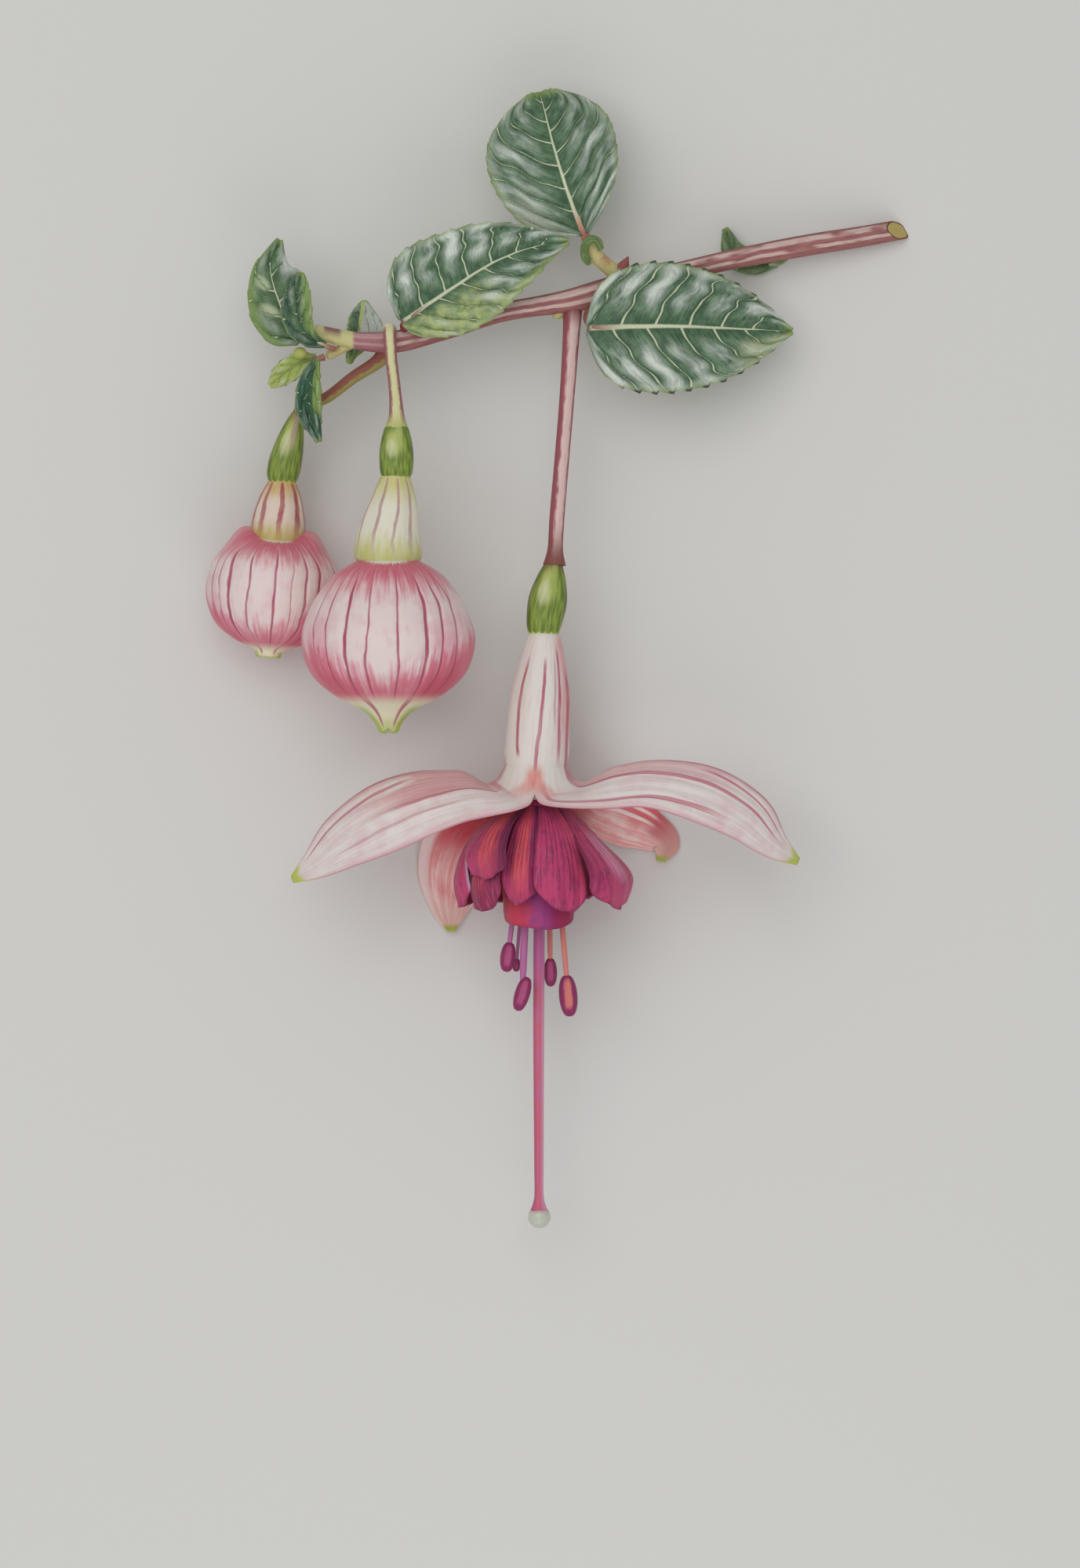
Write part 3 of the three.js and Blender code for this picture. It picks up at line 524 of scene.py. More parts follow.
def leaf_look(name, veins, midrib=0.5, pale=1.0, fresh=0.0, hooks=0.0, paint=None, count=12, **tones):
    """Green with cream veins: painted shade beside each vein and along the midrib, a painted highlight in the
    middle of each puffed field, yellow-green at the margin. fresh turns it yellow-green, pale sets how strong
    the painted highlight is, hooks darkens its teeth, and paint adds what it alone has."""
    look = Look(name, specular_ior_level=0.3)
    dark, middle, light, vein, foot, margin, back = {**LEAF, **tones}.values()
    reach, under, stalk = look.field("reach"), look.field("under"), look.field("stalk")
    across = abs(look.s)
    phase = veins.phase(look.s, look.t)
    apart = phase.math("PINGPONG", 0.5)  # 0 on a side vein, 0.5 half way to the next
    field = fraction(phase)
    cloud, grain = look.noise(1.8, 3), look.noise(0.25, 3)
    streak = look.strokes(phase * 1.5, across * 2.4, seed=veins.count + veins.shift)
    fine = look.strokes(phase * 7, across * 5, 2, seed=veins.shift)
    hatch = look.strokes(phase * 16, across * 4, 2, seed=veins.count)
    strokes = (fine - 0.5) * 1.2 + (hatch - 0.5) * 1.2
    look.colour = look.mix(dark, middle, step(cloud, 0.35, 0.7) * 0.5 + strokes + 0.15)
    look.paint(margin, (cloud * 0.6 + 0.55) * fresh)
    # Painted highlight: pale streaks in the middle of each puffed field, and a pale band near the margin in
    # the same tone. pale sets how strong both are.
    puff = step(field, 0.08, 0.5) * step(field, 0.97, 0.62) * step(across, 0.1, 0.5)
    shine = puff * ((streak - 0.34) * 3.2).clamped() * (grain * 0.6 + hatch * 1.4 + fine * 0.4 - 0.2)
    border = step(across, 0.82, 0.94) * (cloud * 1.2 - 0.1)
    look.paint(light, (shine + border * 0.5) * pale)
    if paint:
        paint(look)
    rim = step(across, 0.9, 0.99) * (cloud * 1.4 - 0.1) + step(look.t, 0.92, 1.0)
    look.paint(margin, rim * 0.8)
    # Painted shade: darker on both sides of each side vein and along the midrib, where the quilted surface
    # dips.
    beside = step(apart, 0.13, 0.05) * step(across, 0.02, 0.15) * step(across, 0.97, 0.8)
    look.paint(dark, (beside + line(abs(reach), (1.3 - look.t) * midrib * 2.2) * 0.6) * 0.6)
    side_vein = line(apart, 0.052 - 0.014 * across) * step(across, 1.0, 0.92) * (grain * 0.5 + 0.75)
    main_vein = line(abs(reach), (1.12 - look.t) * midrib)
    ribs = most(side_vein, main_vein)
    look.paint(look.mix(foot, vein, step(look.t, 0.0, 0.03)), ribs * 0.9)
    if hooks:
        tooth = fraction(look.t * count)
        dots = step(across, 0.95, 0.98) * step(tooth, 0.5, 0.7) * step(look.t, 0.1, 0.2)
        look.paint((38, 62, 44), dots * hooks)
    below = look.mix(look.mix(back, dark, cloud * 0.25), (196, 208, 172), ribs)
    look.paint(below, under)
    look.paint(look.mix(foot, vein, step(look.t, 0.05, 0.3)), stalk)
    netting = step(look.cells(0.9), 0.0, 0.12)
    height = netting * 0.3 + grain * 0.3 + ribs * 0.5
    return look.finish(grain * 0.2 + 0.45, height, 0.12)


def top_paint(look):
    """A pale grey edge low on the left."""
    edge = step(look.s, -0.35, -0.8) * step(look.t, 0.45, 0.2)
    look.paint((192, 200, 184), edge * 0.8)


def centre_paint(look):
    """The right half near the foot, and the right edge up to the tip, are yellow-green."""
    cloud = look.noise(1.2, 3)
    low = step(look.s, 0.0, 0.45) * step(look.t, 0.62, 0.3)
    edge = step(look.s, 0.62, 0.9)
    look.paint((160, 178, 98), (low + edge).clamped() * (cloud * 1.4 - 0.1))
    look.paint((206, 214, 152), low * step(cloud, 0.4, 0.7) * 0.5)


def right_paint(look):
    """The lower half near the tip is pale yellow-green."""
    end = step(look.s, 0.1, 0.5) * step(look.t, 0.66, 0.82)
    look.paint((176, 188, 136), end * (look.noise(1.2, 3) * 1.4 - 0.1))


def left_paint(look):
    """Two pale ovals between the veins of the left half and a pale grey lobe on the right near the tip, all
    painted highlights.
    """
    look.paint((128, 154, 72), step(look.s, -0.55, -0.9) * 0.7)
    # Painted highlights: two pale ovals in the fields of the left half.
    for s, t in ((-0.42, 0.6), (-0.38, 0.36)):
        oval = ((look.s - s) / 0.28) ** 2 + ((look.t - t + (look.s - s) * 0.15) / 0.06) ** 2
        look.paint((204, 216, 176), step(oval, 1.8, 0.0) * 0.8)
    # Painted highlight: a pale grey lobe on the right near the tip.
    highlight_lobe = step(look.s, 0.25, 0.7) * step(look.t, 0.55, 0.7) * step(look.t, 0.95, 0.85)
    look.paint((206, 212, 204), highlight_lobe * 0.85)


def inner_paint(look):
    """Dark along its left edge and at its foot, and yellow-green along its right edge."""
    cloud = look.noise(0.8, 3)
    look.paint((134, 162, 74), step(look.s, 0.1, 0.7) * (cloud + 0.2))
    dark = step(look.s, -0.3, -0.7) + step(look.t, 0.3, 0.08)
    look.paint((44, 80, 56), dark.clamped() * (cloud * 0.8 + 0.35))


def hanging_paint(look):
    """Yellow-green on its left, with pale and dark streaks along it."""
    streak = look.strokes(look.t * 1.5, look.s * 5)
    look.paint((34, 76, 62), step(streak, 0.54, 0.4) * 0.85)
    fresh = step(look.s, -0.25, -0.5) * step(look.t, 0.75, 0.55)
    look.paint((134, 160, 74), fresh * (streak * 0.8 + 0.4))
    look.paint((186, 202, 178), step(streak, 0.56, 0.66) * 0.6)


def behind_paint(look):
    """The part next to the stem's foot is pale grey, and a light edge parts it from the dark end."""
    upper = step(look.s, -0.1, 0.1)
    mottle = look.noise(0.5, 3)
    look.paint((196, 204, 194), step(look.t, 0.68, 0.64) * upper * (mottle * 0.5 + 0.7))
    look.paint((186, 200, 124), line(abs(look.t - 0.68), 0.05) * upper)
    look.paint((134, 160, 72), step(look.s, -0.6, -0.85) * 0.8)


def leaf_stalk(spec):
    """The stalk that runs on under the blade as its keel."""
    surface = leaf_surface(spec)
    places = np.array([0.12, 0.4, 0.7, 0.9])
    keel = surface(0 * places, places) - LEAF_THICKNESS * 0.55 * UP
    foot = spec["stalk_radius"]
    radius = through([[0, foot], [0.25, foot * 0.85], [1, 0.2]])
    return bar([*spec["stalk"], *keel.tolist()], radius, sides=16, stalk=1.0)


LARGE, SMALL, CURLED_GRID = (76, 180), (40, 90), (24, 48)  # faces across and along
LEAF_THICKNESS = 0.42

LEAVES = {
    "leaf_right": {
        "grid": LARGE,
        "stalk": [[4.9, 53.2, 12.3], [4.6, 51.9, 13.4], [5.6, 50.8, 14.1]],
        "stalk_radius": 0.75,
        "spine": [[4.5, 50.4, 14.4], [10, 50.6, 15.4], [18, 50.7, 14.8], [27, 50.5, 11.8], [35.9, 50.3, 7.4]],
        "to": [0.2, 0.1, 1],
        "left": [[0, 1.4], [0.04, 5.4], [0.14, 8.4], [0.35, 9.8], [0.6, 8.6], [0.8, 5.6], [1, 0.5]],
        "right": [[0, 1.4], [0.04, 5.7], [0.14, 8.8], [0.35, 9.9], [0.6, 8.5], [0.8, 5.2], [1, 0.5]],
        "arch": 0.012,
        "veins": Veins(6.3, 0.25, (0.2, 0.26)),
        "quilt": 0.45,
        "teeth": (12, 0.55),
        "look": {"hooks": 0.85, "midrib": 0.6, "foot": (150, 84, 78), "paint": right_paint},
    },
    "leaf_centre": {
        "grid": LARGE,
        "stalk": [[-23.3, 50, 15.9], [-23.5, 50.9, 16.4], [-22.2, 51.8, 16.8]],
        "stalk_radius": 0.6,
        "spine": [
            [-23.8, 51.2, 16.9], [-16.7, 55.9, 18.4], [-9.5, 60.4, 18.2], [-3.3, 62.8, 16.9],
            [1.5, 63.6, 15.6],
        ],
        "left": [
            [0, 1.3], [0.02, 4.8], [0.13, 8.1], [0.26, 8.8], [0.44, 7.8], [0.65, 5.7], [0.85, 2.7], [1, 0.5],
        ],
        "right": [
            [0, 0.9], [0.02, 2.6], [0.08, 4.3], [0.23, 6.5], [0.4, 7.1], [0.55, 6.6], [0.8, 4], [1, 0.5],
        ],
        "arch": 0.012,
        "veins": Veins(7, 0.35, (0.12, 0.3)),
        "quilt": 0.4,
        "teeth": (12, 0.4),
        "look": {"paint": centre_paint, "foot": (140, 60, 66), "midrib": 0.48},
    },
    "leaf_top": {
        "grid": LARGE,
        "stalk": [[4.5, 63.9, 12], [4.2, 64.8, 12.4], [3.5, 66.2, 12.8]],
        "stalk_radius": 0.75,
        "spine": [[3.9, 65, 12.8], [1.6, 71, 14.4], [-0.6, 78.2, 14], [-1.9, 83.5, 11.6], [-2.7, 86.8, 9.2]],
        "left": [[0, 1], [0.08, 5.6], [0.25, 8.9], [0.5, 10.6], [0.75, 9.4], [0.92, 5.6], [1, 2.2]],
        "right": [[0, 1], [0.08, 3.8], [0.25, 7.4], [0.5, 9.3], [0.75, 8.9], [0.92, 5.8], [1, 2.6]],
        "arch": 0.014,
        "veins": Veins(6.6, 0.45, (0.4, 0.44)),
        "quilt": 0.4,
        "teeth": (12, 0.22),
        "look": {"paint": top_paint, "foot": (196, 128, 108), "pale": 0.8},
    },
    "leaf_left": {
        "stalk": [[-38, 49.5, 14.5], [-38.9, 48.8, 14.4], [-39.9, 49.3, 14.2]],
        "stalk_radius": 0.5,
        "spine": [
            [-39.2, 48.4, 14.4], [-41.2, 51.2, 14.8], [-42.9, 55.5, 15.2], [-43.9, 59.8, 14.4],
            [-42.6, 63.9, 12.8],
        ],
        "left": [[0, 0.9], [0.12, 3.6], [0.35, 4.8], [0.6, 3.8], [0.82, 1.6], [1, 0.5]],
        "right": [[0, 0.9], [0.15, 2.8], [0.4, 4.7], [0.6, 4.8], [0.82, 2.5], [1, 0.5]],
        "arch": 0.03,
        "quilt": 0.6,
        "teeth": (5, 0.2),
        "look": {"midrib": 0.36, "paint": left_paint, "pale": 0.4, "fresh": 0.15},
    },
    "leaf_left_inner": {
        "stalk": [[-34.1, 47.2, 15.5], [-35, 47.5, 16.2], [-36.2, 48, 16.9]],
        "stalk_radius": 0.45,
        "spine": [
            [-35.6, 47.8, 16.6], [-37.8, 48.9, 17.4], [-39.4, 51.6, 18.3], [-39.7, 54.8, 18.6],
            [-39.1, 58.6, 17.8],
        ],
        "facing": [-0.2, 0, 1],
        "left": [[0, 0.5], [0.15, 1.2], [0.35, 2], [0.6, 2.2], [0.85, 1.3], [1, 0.4]],
        "right": [[0, 0.5], [0.15, 1], [0.35, 1.8], [0.6, 2.6], [0.85, 1.7], [1, 0.4]],
        "fold": 0.5,
        "quilt": 0.3,
        "teeth": (5, 0.2),
        "look": {"midrib": 0.3, "paint": inner_paint, "pale": 0.6},
    },
    "leaf_lower": {
        "stalk": [[-35.6, 45.9, 13.7], [-36.6, 45.8, 14], [-37.6, 45.7, 14.3]],
        "stalk_radius": 0.4,
        "spine": [[-36.8, 45.9, 14.4], [-39.2, 45.2, 14.8], [-41.4, 43.8, 14.4], [-43.9, 41.7, 13.2]],
        "left": [[0, 0.6], [0.25, 1.6], [0.6, 1.7], [0.85, 1.2], [1, 0.4]],
        "right": [[0, 0.6], [0.3, 1.5], [0.6, 1.7], [0.85, 1.2], [1, 0.4]],
        "fold": 0.15,
        "quilt": 0.2,
        "teeth": (5, 0.25),
        "look": {
            "midrib": 0.22, "fresh": 0.9, "pale": 0.4, "hooks": 0.5,
            "margin": (178, 192, 92), "dark": (88, 120, 60),
        },
    },
    "leaf_hanging": {
        "stalk": [[-35.7, 46.1, 15.4], [-36.5, 45.7, 15.7], [-37.1, 44.8, 15.8]],
        "stalk_radius": 0.4,
        "spine": [[-36.8, 45.5, 15.9], [-37.9, 42, 16.2], [-38, 38, 15.8], [-36.5, 33.2, 13.8]],
        "left": [[0, 0.5], [0.3, 1.8], [0.6, 1.9], [0.85, 1], [1, 0.4]],
        "right": [[0, 0.5], [0.3, 1.6], [0.6, 1.8], [0.85, 1], [1, 0.4]],
        "fold": 0.45,
        "quilt": 0.25,
        "teeth": (5, 0.25),
        "look": {"midrib": 0.2, "middle": (84, 130, 100), "pale": 0.2, "paint": hanging_paint},
    },
    "leaf_behind_stem": {
        "stalk": [[-25.4, 48.6, 11.6], [-26.2, 48.8, 11.3], [-27.4, 49.1, 10.8]],
        "stalk_radius": 0.45,
        "spine": [[-26.4, 48.9, 11.2], [-28.6, 49.3, 10.5], [-30.9, 49.6, 10.6], [-32.3, 49.7, 11.4]],
        "left": [[0, 0.5], [0.3, 1.5], [0.5, 2.3], [0.7, 3.6], [0.85, 4.5], [1, 4.4]],
        "right": [[0, 0.5], [0.15, 2.4], [0.35, 3.8], [0.55, 5.2], [0.7, 5.3], [0.85, 4.2], [1, 2.4]],
        "fold": 0.12,
        "quilt": 0.15,
        "teeth": (5, 0.1),
        "look": {"midrib": 0.05, "pale": 0.3, "paint": behind_paint},
    },
    "leaf_back_right": {
        "stalk": [[35.2, 61.9, 2.5], [34.2, 61.2, 2.1], [32.8, 60.9, 1.6]],
        "stalk_radius": 0.45,
        "spine": [[33.9, 61, 1.9], [30.4, 61.1, 1.4], [27.4, 62.6, 1.4], [25.8, 66.5, 2.4]],
        "left": [[0, 0.5], [0.3, 1.8], [0.6, 2], [0.85, 1.1], [1, 0.4]],
        "right": [[0, 0.5], [0.3, 1.6], [0.6, 1.9], [0.85, 1.1], [1, 0.4]],
        "fold": 0.1,
        "quilt": 0.2,
        "teeth": (5, 0),
        "look": {"midrib": 0.12, "fresh": 0.3, "pale": 0.2, "dark": (52, 84, 56), "foot": (120, 142, 84)},
    },
}


def make_leaf(name, spec):
    """The blade and stalk of one leaf. The small leaves share their grid and veins."""
    spec = {"grid": SMALL, "veins": Veins(4, 0.4), **spec}
    spec = {**spec, "relief": quilt(spec["veins"], spec["quilt"]), "edge": teeth(*spec["teeth"])}
    slot = "young_leaf" if name == "leaf_lower" else "leaf"
    look = leaf_look(name, spec["veins"], count=spec["teeth"][0], **spec["look"])
    piece(name, [blade(leaf_surface(spec), spec["grid"], LEAF_THICKNESS), leaf_stalk(spec)], look, slot, name)


for leaf_name, leaf_spec in LEAVES.items():
    make_leaf(leaf_name, leaf_spec)

CURLED = {
    "spine": [
        [6.6, 62.6, 13.1], [5.9, 63.7, 13.9], [4.9, 63.8, 14.1], [4.3, 62.8, 13.8], [4.3, 61.5, 13],
        [4.8, 60.4, 12.1],
    ],
    "left": [[0, 0.45], [0.25, 0.5], [0.6, 0.5], [0.85, 0.5], [1, 0.4]],
    "right": [[0, 0.5], [0.25, 0.8], [0.6, 0.8], [0.85, 0.7], [1, 0.4]],
    "arch": 0.05,
}
CURLED_TONES = {"midrib": 0.12, "pale": 0.1, "fresh": 0.35, "dark": (52, 80, 34), "vein": (150, 168, 96)}
curled_look = leaf_look("leaf_curled", Veins(5, 0.4), **CURLED_TONES)
curled_blade = blade(leaf_surface(CURLED), CURLED_GRID, 0.6)
piece("leaf_curled", [curled_blade], curled_look, "young_leaf", "leaf_curled")


# The stem and its stalks.


def stem_look():
    """Crimson-brown with pale streaks along it, a yellow-green young end and a cut face of pale wood."""
    look = Look("stem_bark", specular_ior_level=0.4)
    turn = look.u * 360
    wander = look.strokes(look.t * 22, 0.0) - 0.5
    fine, brush = look.noise(0.3, 3), look.strokes(look.t * 30, look.u * 24)
    broken = step(look.strokes(look.t * 14, look.u * 3, 2, seed=4.0), 0.36, 0.5)
    look.colour = look.mix((138, 78, 78), (180, 124, 118), (brush - 0.5) * 1.8 + 0.45)
    pale = lines(turn + wander * 22, [(54, 26, 1.0), (108, 13, 0.9), (236, 16, 0.5), (312, 20, 0.6)])
    look.paint((222, 194, 186), pale * broken * (brush * 0.8 + 0.55))
    look.paint((104, 62, 64), step(abs(turn - 8), 16, 6) * 0.7)
    mauve = step(look.x, -24.0, -26.5)
    look.paint((176, 120, 130), mauve * (brush * 1.2))
    young = look.mix((226, 222, 170), (192, 186, 112), brush)
    young = look.mix(young, (128, 66, 88), line(abs(look.x + 34.4), 1.7) * step(turn, 120, 40) * 0.85)
    look.paint(young, step(look.x, -30.9, -31.5))
    # The side shoot and the stipules are shells of their own, and so is the swollen foot of the lower shoot.
    shoot = look.mix((220, 212, 156), (192, 176, 108), brush)
    shoot = look.mix(shoot, (172, 104, 88), line(abs(look.t - 0.6), 0.14) * step(turn, 130, 60) * brush)
    look.paint(shoot, look.field("shoot"))
    thorn = look.mix((198, 196, 128), (158, 88, 86), step(look.x, 2.0, 6.0))
    look.paint(thorn, look.field("stipule"))
    cut = step(look.t, 0.0015, 0.0)
    rings = look.strokes(look.field("out") * 9, 0.0, 2)
    inside = look.mix((206, 190, 112), (182, 158, 88), rings)
    inside = look.mix(inside, (112, 46, 48), step(look.field("out"), 0.82, 0.93))
    look.paint(inside, cut)
    return look.finish(fine * 0.2 + 0.5, fine * 0.5 + brush * 0.5, 0.15)


WOODY_STEM = [
    [54.6, 66.6, 1.1], [47.2, 65.2, 2.5], [40.7, 64.1, 3.7], [28.7, 61.8, 5.9], [20.3, 59.8, 7.4],
    [10.7, 57.4, 9.1], [2.9, 55, 10.5], [-8.5, 52.9, 12.2], [-18.1, 49.8, 13.5], [-24.7, 48.4, 14],
    [-30.7, 48.5, 14.3], [-37.2, 49.9, 14.5],
]
STEM_RADIUS = [
    [0, 1.5], [0.15, 1.65], [0.4, 1.5], [0.54, 1.95], [0.64, 1.5], [0.8, 1.4], [0.87, 1.7], [0.93, 1.35],
    [1, 1.1],
]
CUT_MIDDLE, CUT_FACING = np.array([51.8, 66.3, 2.1]), unit(np.array([0.68, 0.38, 0.63]))

# The shoot that carries the top leaf, and the one that carries the small leaves below the stem's tip.
TOP_SHOOT = [[10.6, 57.4, 9.4], [8.4, 59.5, 10.4], [6.4, 61.2, 11], [4.8, 63.4, 11.7]]
LOWER_SHOOT = [[-31.4, 48.4, 13.8], [-33.4, 47.1, 13.7], [-35, 46.3, 13.8]]
STIPULES = [
    [[8.8, 57.6, 9.8], [10, 59.9, 10.6], [10.8, 61.6, 11]],
    [[0.2, 53.8, 10.3], [-0.1, 52.8, 10.6], [-0.6, 52.1, 10.8]],
]


def bark_ridges(angle, t):
    return 1 + 0.03 * np.cos(5 * angle) + 0.012 * np.sin(9 * angle + 40 * t)


def branch():
    stem = bar(WOODY_STEM, through(STEM_RADIUS), sides=48, steps=360, relief=bark_ridges)
    # Everything past the slanting cut is drawn back onto it, along the stem.
    past = (stem.places - CUT_MIDDLE) @ CUT_FACING
    along = Path(WOODY_STEM).along(np.array(0.0))
    stem.places -= np.maximum(past, 0)[:, None] * along / (along @ CUT_FACING)
    stem.places[:, 2] = np.maximum(stem.places[:, 2], 0)
    green = {"shoot": 1.0}
    top = bar(TOP_SHOOT, through([[0, 1.5], [0.4, 1.2], [1, 1.15]]), bulge=(0, 0.6), **green)
    low = bar(LOWER_SHOOT, through([[0, 1.1], [0.4, 0.75], [1, 0.7]]), bulge=(0, 0.4), **green)
    thorns = [bar(points, through([[0, 1.6], [0.6, 1.0], [1, 0.1]]), stipule=1.0) for points in STIPULES]
    return [stem, top, low, *thorns]


piece("branch", branch(), stem_look(), "wood", "branch")


def stalk_look(name, edge, centre, streak, start, end):
    """A stalk with a pale streak at streak degrees round it, and tones of its own at its start and end."""
    look = Look(name, specular_ior_level=0.4)
    wander = look.strokes(look.t * 9, 0.0) - 0.5
    brush, fine = look.strokes(look.t * 20, look.u * 20), look.noise(0.4, 3)
    apart = abs(look.u * 360 - streak + wander * 30)
    look.colour = look.mix(centre, edge, step(apart + (brush - 0.5) * 40, 22, 46))
    look.paint(start, step(look.t, 0.1, 0.0) + step(brush, 0.55, 0.75) * 0.25)
    look.paint(end, step(look.t, 0.82, 1.0))
    return look.finish(fine * 0.2 + 0.42, fine * 0.5 + brush * 0.5, 0.08)


STALKS = {
    "flower_stalk": {
        "slot": "stalk",
        "points": [
            [2.3, 53.4, 10.4], [2.2, 51.6, 11.4], [1.9, 46.8, 12.4], [1.3, 38.4, 13.4], [0.5, 28.8, 14.4],
            [-0.1, 21.6, 15.1], [-0.5, 14.2, 15.5],
        ],
        "radius": [[0, 1.5], [0.05, 1.4], [0.1, 1.3], [0.35, 1.15], [0.85, 1.15], [0.94, 1.2], [1, 1.75]],
        "tones": [(158, 86, 94), (224, 192, 186), 108, (140, 72, 76), (136, 78, 70)],
    },
    "large_bud_stalk": {
        "slot": "pale_stalk",
        "points": [
            [-25.7, 50.2, 15.6], [-25.6, 49.4, 17], [-25.4, 46, 18.1], [-24.8, 41, 19.9], [-24.5, 37, 21.4],
            [-24.5, 34.6, 21.8],
        ],
        "radius": [[0, 1.1], [0.15, 0.95], [0.5, 0.9], [0.75, 1.0], [0.9, 1.3], [1, 1.95]],
        "tones": [(160, 104, 106), (222, 218, 164), 92, (226, 220, 190), (196, 200, 124)],
    },
    "small_bud_stalk": {
        "slot": "stalk",
        "points": [
            [-25.8, 47.2, 13], [-27.6, 45.4, 12.1], [-31.2, 43.1, 11.4], [-35.6, 39.9, 10.4],
            [-38.1, 39, 10], [-39.35, 38.3, 9.9], [-39.9, 36.7, 9.8],
        ],
        "radius": [[0, 1.6], [0.15, 1.1], [0.4, 0.95], [0.85, 0.85], [1, 1.0]],
        "tones": [(142, 84, 68), (164, 150, 86), 140, (150, 82, 74), (140, 104, 76)],
    },
}
for stalk_name, stalk in STALKS.items():
    shell = bar(stalk["points"], through(stalk["radius"]), steps=120)
    piece(stalk_name, [shell], stalk_look(stalk_name, *stalk["tones"]), stalk["slot"], stalk_name)


# Ovaries, floral tubes and buds.


def ovary_look(name, rim, blush):
    """Green strokes, a painted highlight on the front with a brighter painted highlight spot in it, tones of
    its own along its sides and top, and a scalloped yellow lower rim."""
    look = Look(name, specular_ior_level=0.4)
    front, t = folded(look.u), look.t
    brush, fine = look.strokes(t * 3, look.u * 34, 4), look.noise(0.25, 2)
    look.colour = look.mix((90, 116, 40), (148, 168, 72), step(brush, 0.34, 0.68))
    # Painted highlight: a soft pale patch on the front, with a brighter spot in it.
    light = step(abs(front - 82), 44, 6) * step(t, 0.7, 0.35)
    look.paint((194, 200, 112), light * (brush * 0.8 + 0.35))
    highlight_spot = ((front - 76) / 20) ** 2 + ((t - 0.42) / 0.2) ** 2
    look.paint((218, 220, 176), step(highlight_spot, 1.4, 0.0) * (brush + 0.2))
    side = step(abs(front - 90), 50, 80) * step(t, 0.95, 0.7) + step(t, 0.2, 0.0)
    look.paint(rim, side * (brush * 0.8 + 0.35))
    look.paint(blush, line(abs(front - 100), 20) * step(t, 0.6, 0.25) * (brush + 0.2))
    look.paint((200, 206, 96), step(t + sine(look.u * 100) * 0.015, 0.955, 0.985))
    return look.finish(fine * 0.2 + 0.38, brush * 0.5 + fine * 0.4, 0.12)


OVARIES = {
    "flower_ovary": {
        "axis": [[-0.55, 14.6, 15.5], [-1.4, 9.5, 15.5], [-2.1, 5.2, 15.5], [-2.2, 3.5, 15.5]],
        "radius": [[0, 1.35], [0.2, 2.25], [0.5, 3.05], [0.82, 2.85], [0.95, 2.5], [1, 2.25]],
        "tones": [(118, 80, 60), (164, 180, 92)],
    },
    "large_bud_ovary": {
        "axis": [[-24.5, 34.9, 21.8], [-24.5, 31.4, 22.1], [-24.5, 27.2, 22.2]],
        "radius": [[0, 1.85], [0.1, 2.15], [0.3, 2.5], [0.55, 2.7], [0.85, 2.6], [0.95, 2.35], [1, 1.95]],
        "tones": [(104, 130, 52), (180, 192, 112)],
    },
    "small_bud_ovary": {
        "axis": [[-39.9, 37.6, 9.8], [-41.2, 32.4, 9.6], [-42.1, 28.4, 9.3], [-42.2, 26.8, 9.3]],
        "radius": [[0, 0.9], [0.15, 1.5], [0.4, 2.2], [0.7, 2.65], [0.88, 2.55], [0.96, 2.25], [1, 1.9]],
        "tones": [(146, 124, 74), (184, 152, 150)],
    },
}


def four_sided(angle, t):
    return 1 - 0.05 * np.cos(4 * angle) + 0.012 * np.cos(8 * angle) * np.sin(np.pi * t)


for ovary_name, ovary in OVARIES.items():
    radius = through(ovary["radius"])
    shell = bar(ovary["axis"], radius, sides=64, steps=72, relief=four_sided, bulge=(0.1, 0.2))
    piece(ovary_name, [shell], ovary_look(ovary_name, *ovary["tones"]), "ovary", ovary_name)


def tube_ribs(angle, t):
    return 1 - 0.015 * (1 + np.cos(8 * angle)) * np.sin(np.pi * np.minimum(t * 1.3, 1))


def bud_tube_look(name, ground, stripe, top, bottom, marks):
    """A bud's tube: pale, with stripes that fade at both ends, and tones of its own at its top and bottom."""
    look = Look(name, **TISSUE)
    t, front = look.t, folded(look.u)
    brush, fine = look.strokes(t * 4, look.u * 30), look.noise(0.25, 2)
    wander = look.strokes(t * 3, look.u * 5, 2) - 0.5
    look.colour = look.mix(ground, (230, 204, 196), step(brush, 0.5, 0.75) * 0.6)
    look.paint(top, step(t, 0.42, 0.08) * (brush * 1.4))
    look.paint(bottom, step(t + (brush - 0.5) * 0.25, 0.6, 0.95) * (brush * 0.9 + 0.35))
    stripes = lines(front + wander * 16, marks, brush * 0.6 + 0.7) * step(t, 1.0, 0.62) * step(t, 0.0, 0.06)
    look.paint(stripe, stripes * (brush * 0.7 + 0.55))
    look.paint((200, 160, 156), step(abs(front - 90), 70, 90) * step(t, 0.9, 0.5) * 0.5)
    return look.finish(fine * 0.15 + 0.45, fine * 0.3 + stripes * 0.3, 0.08)


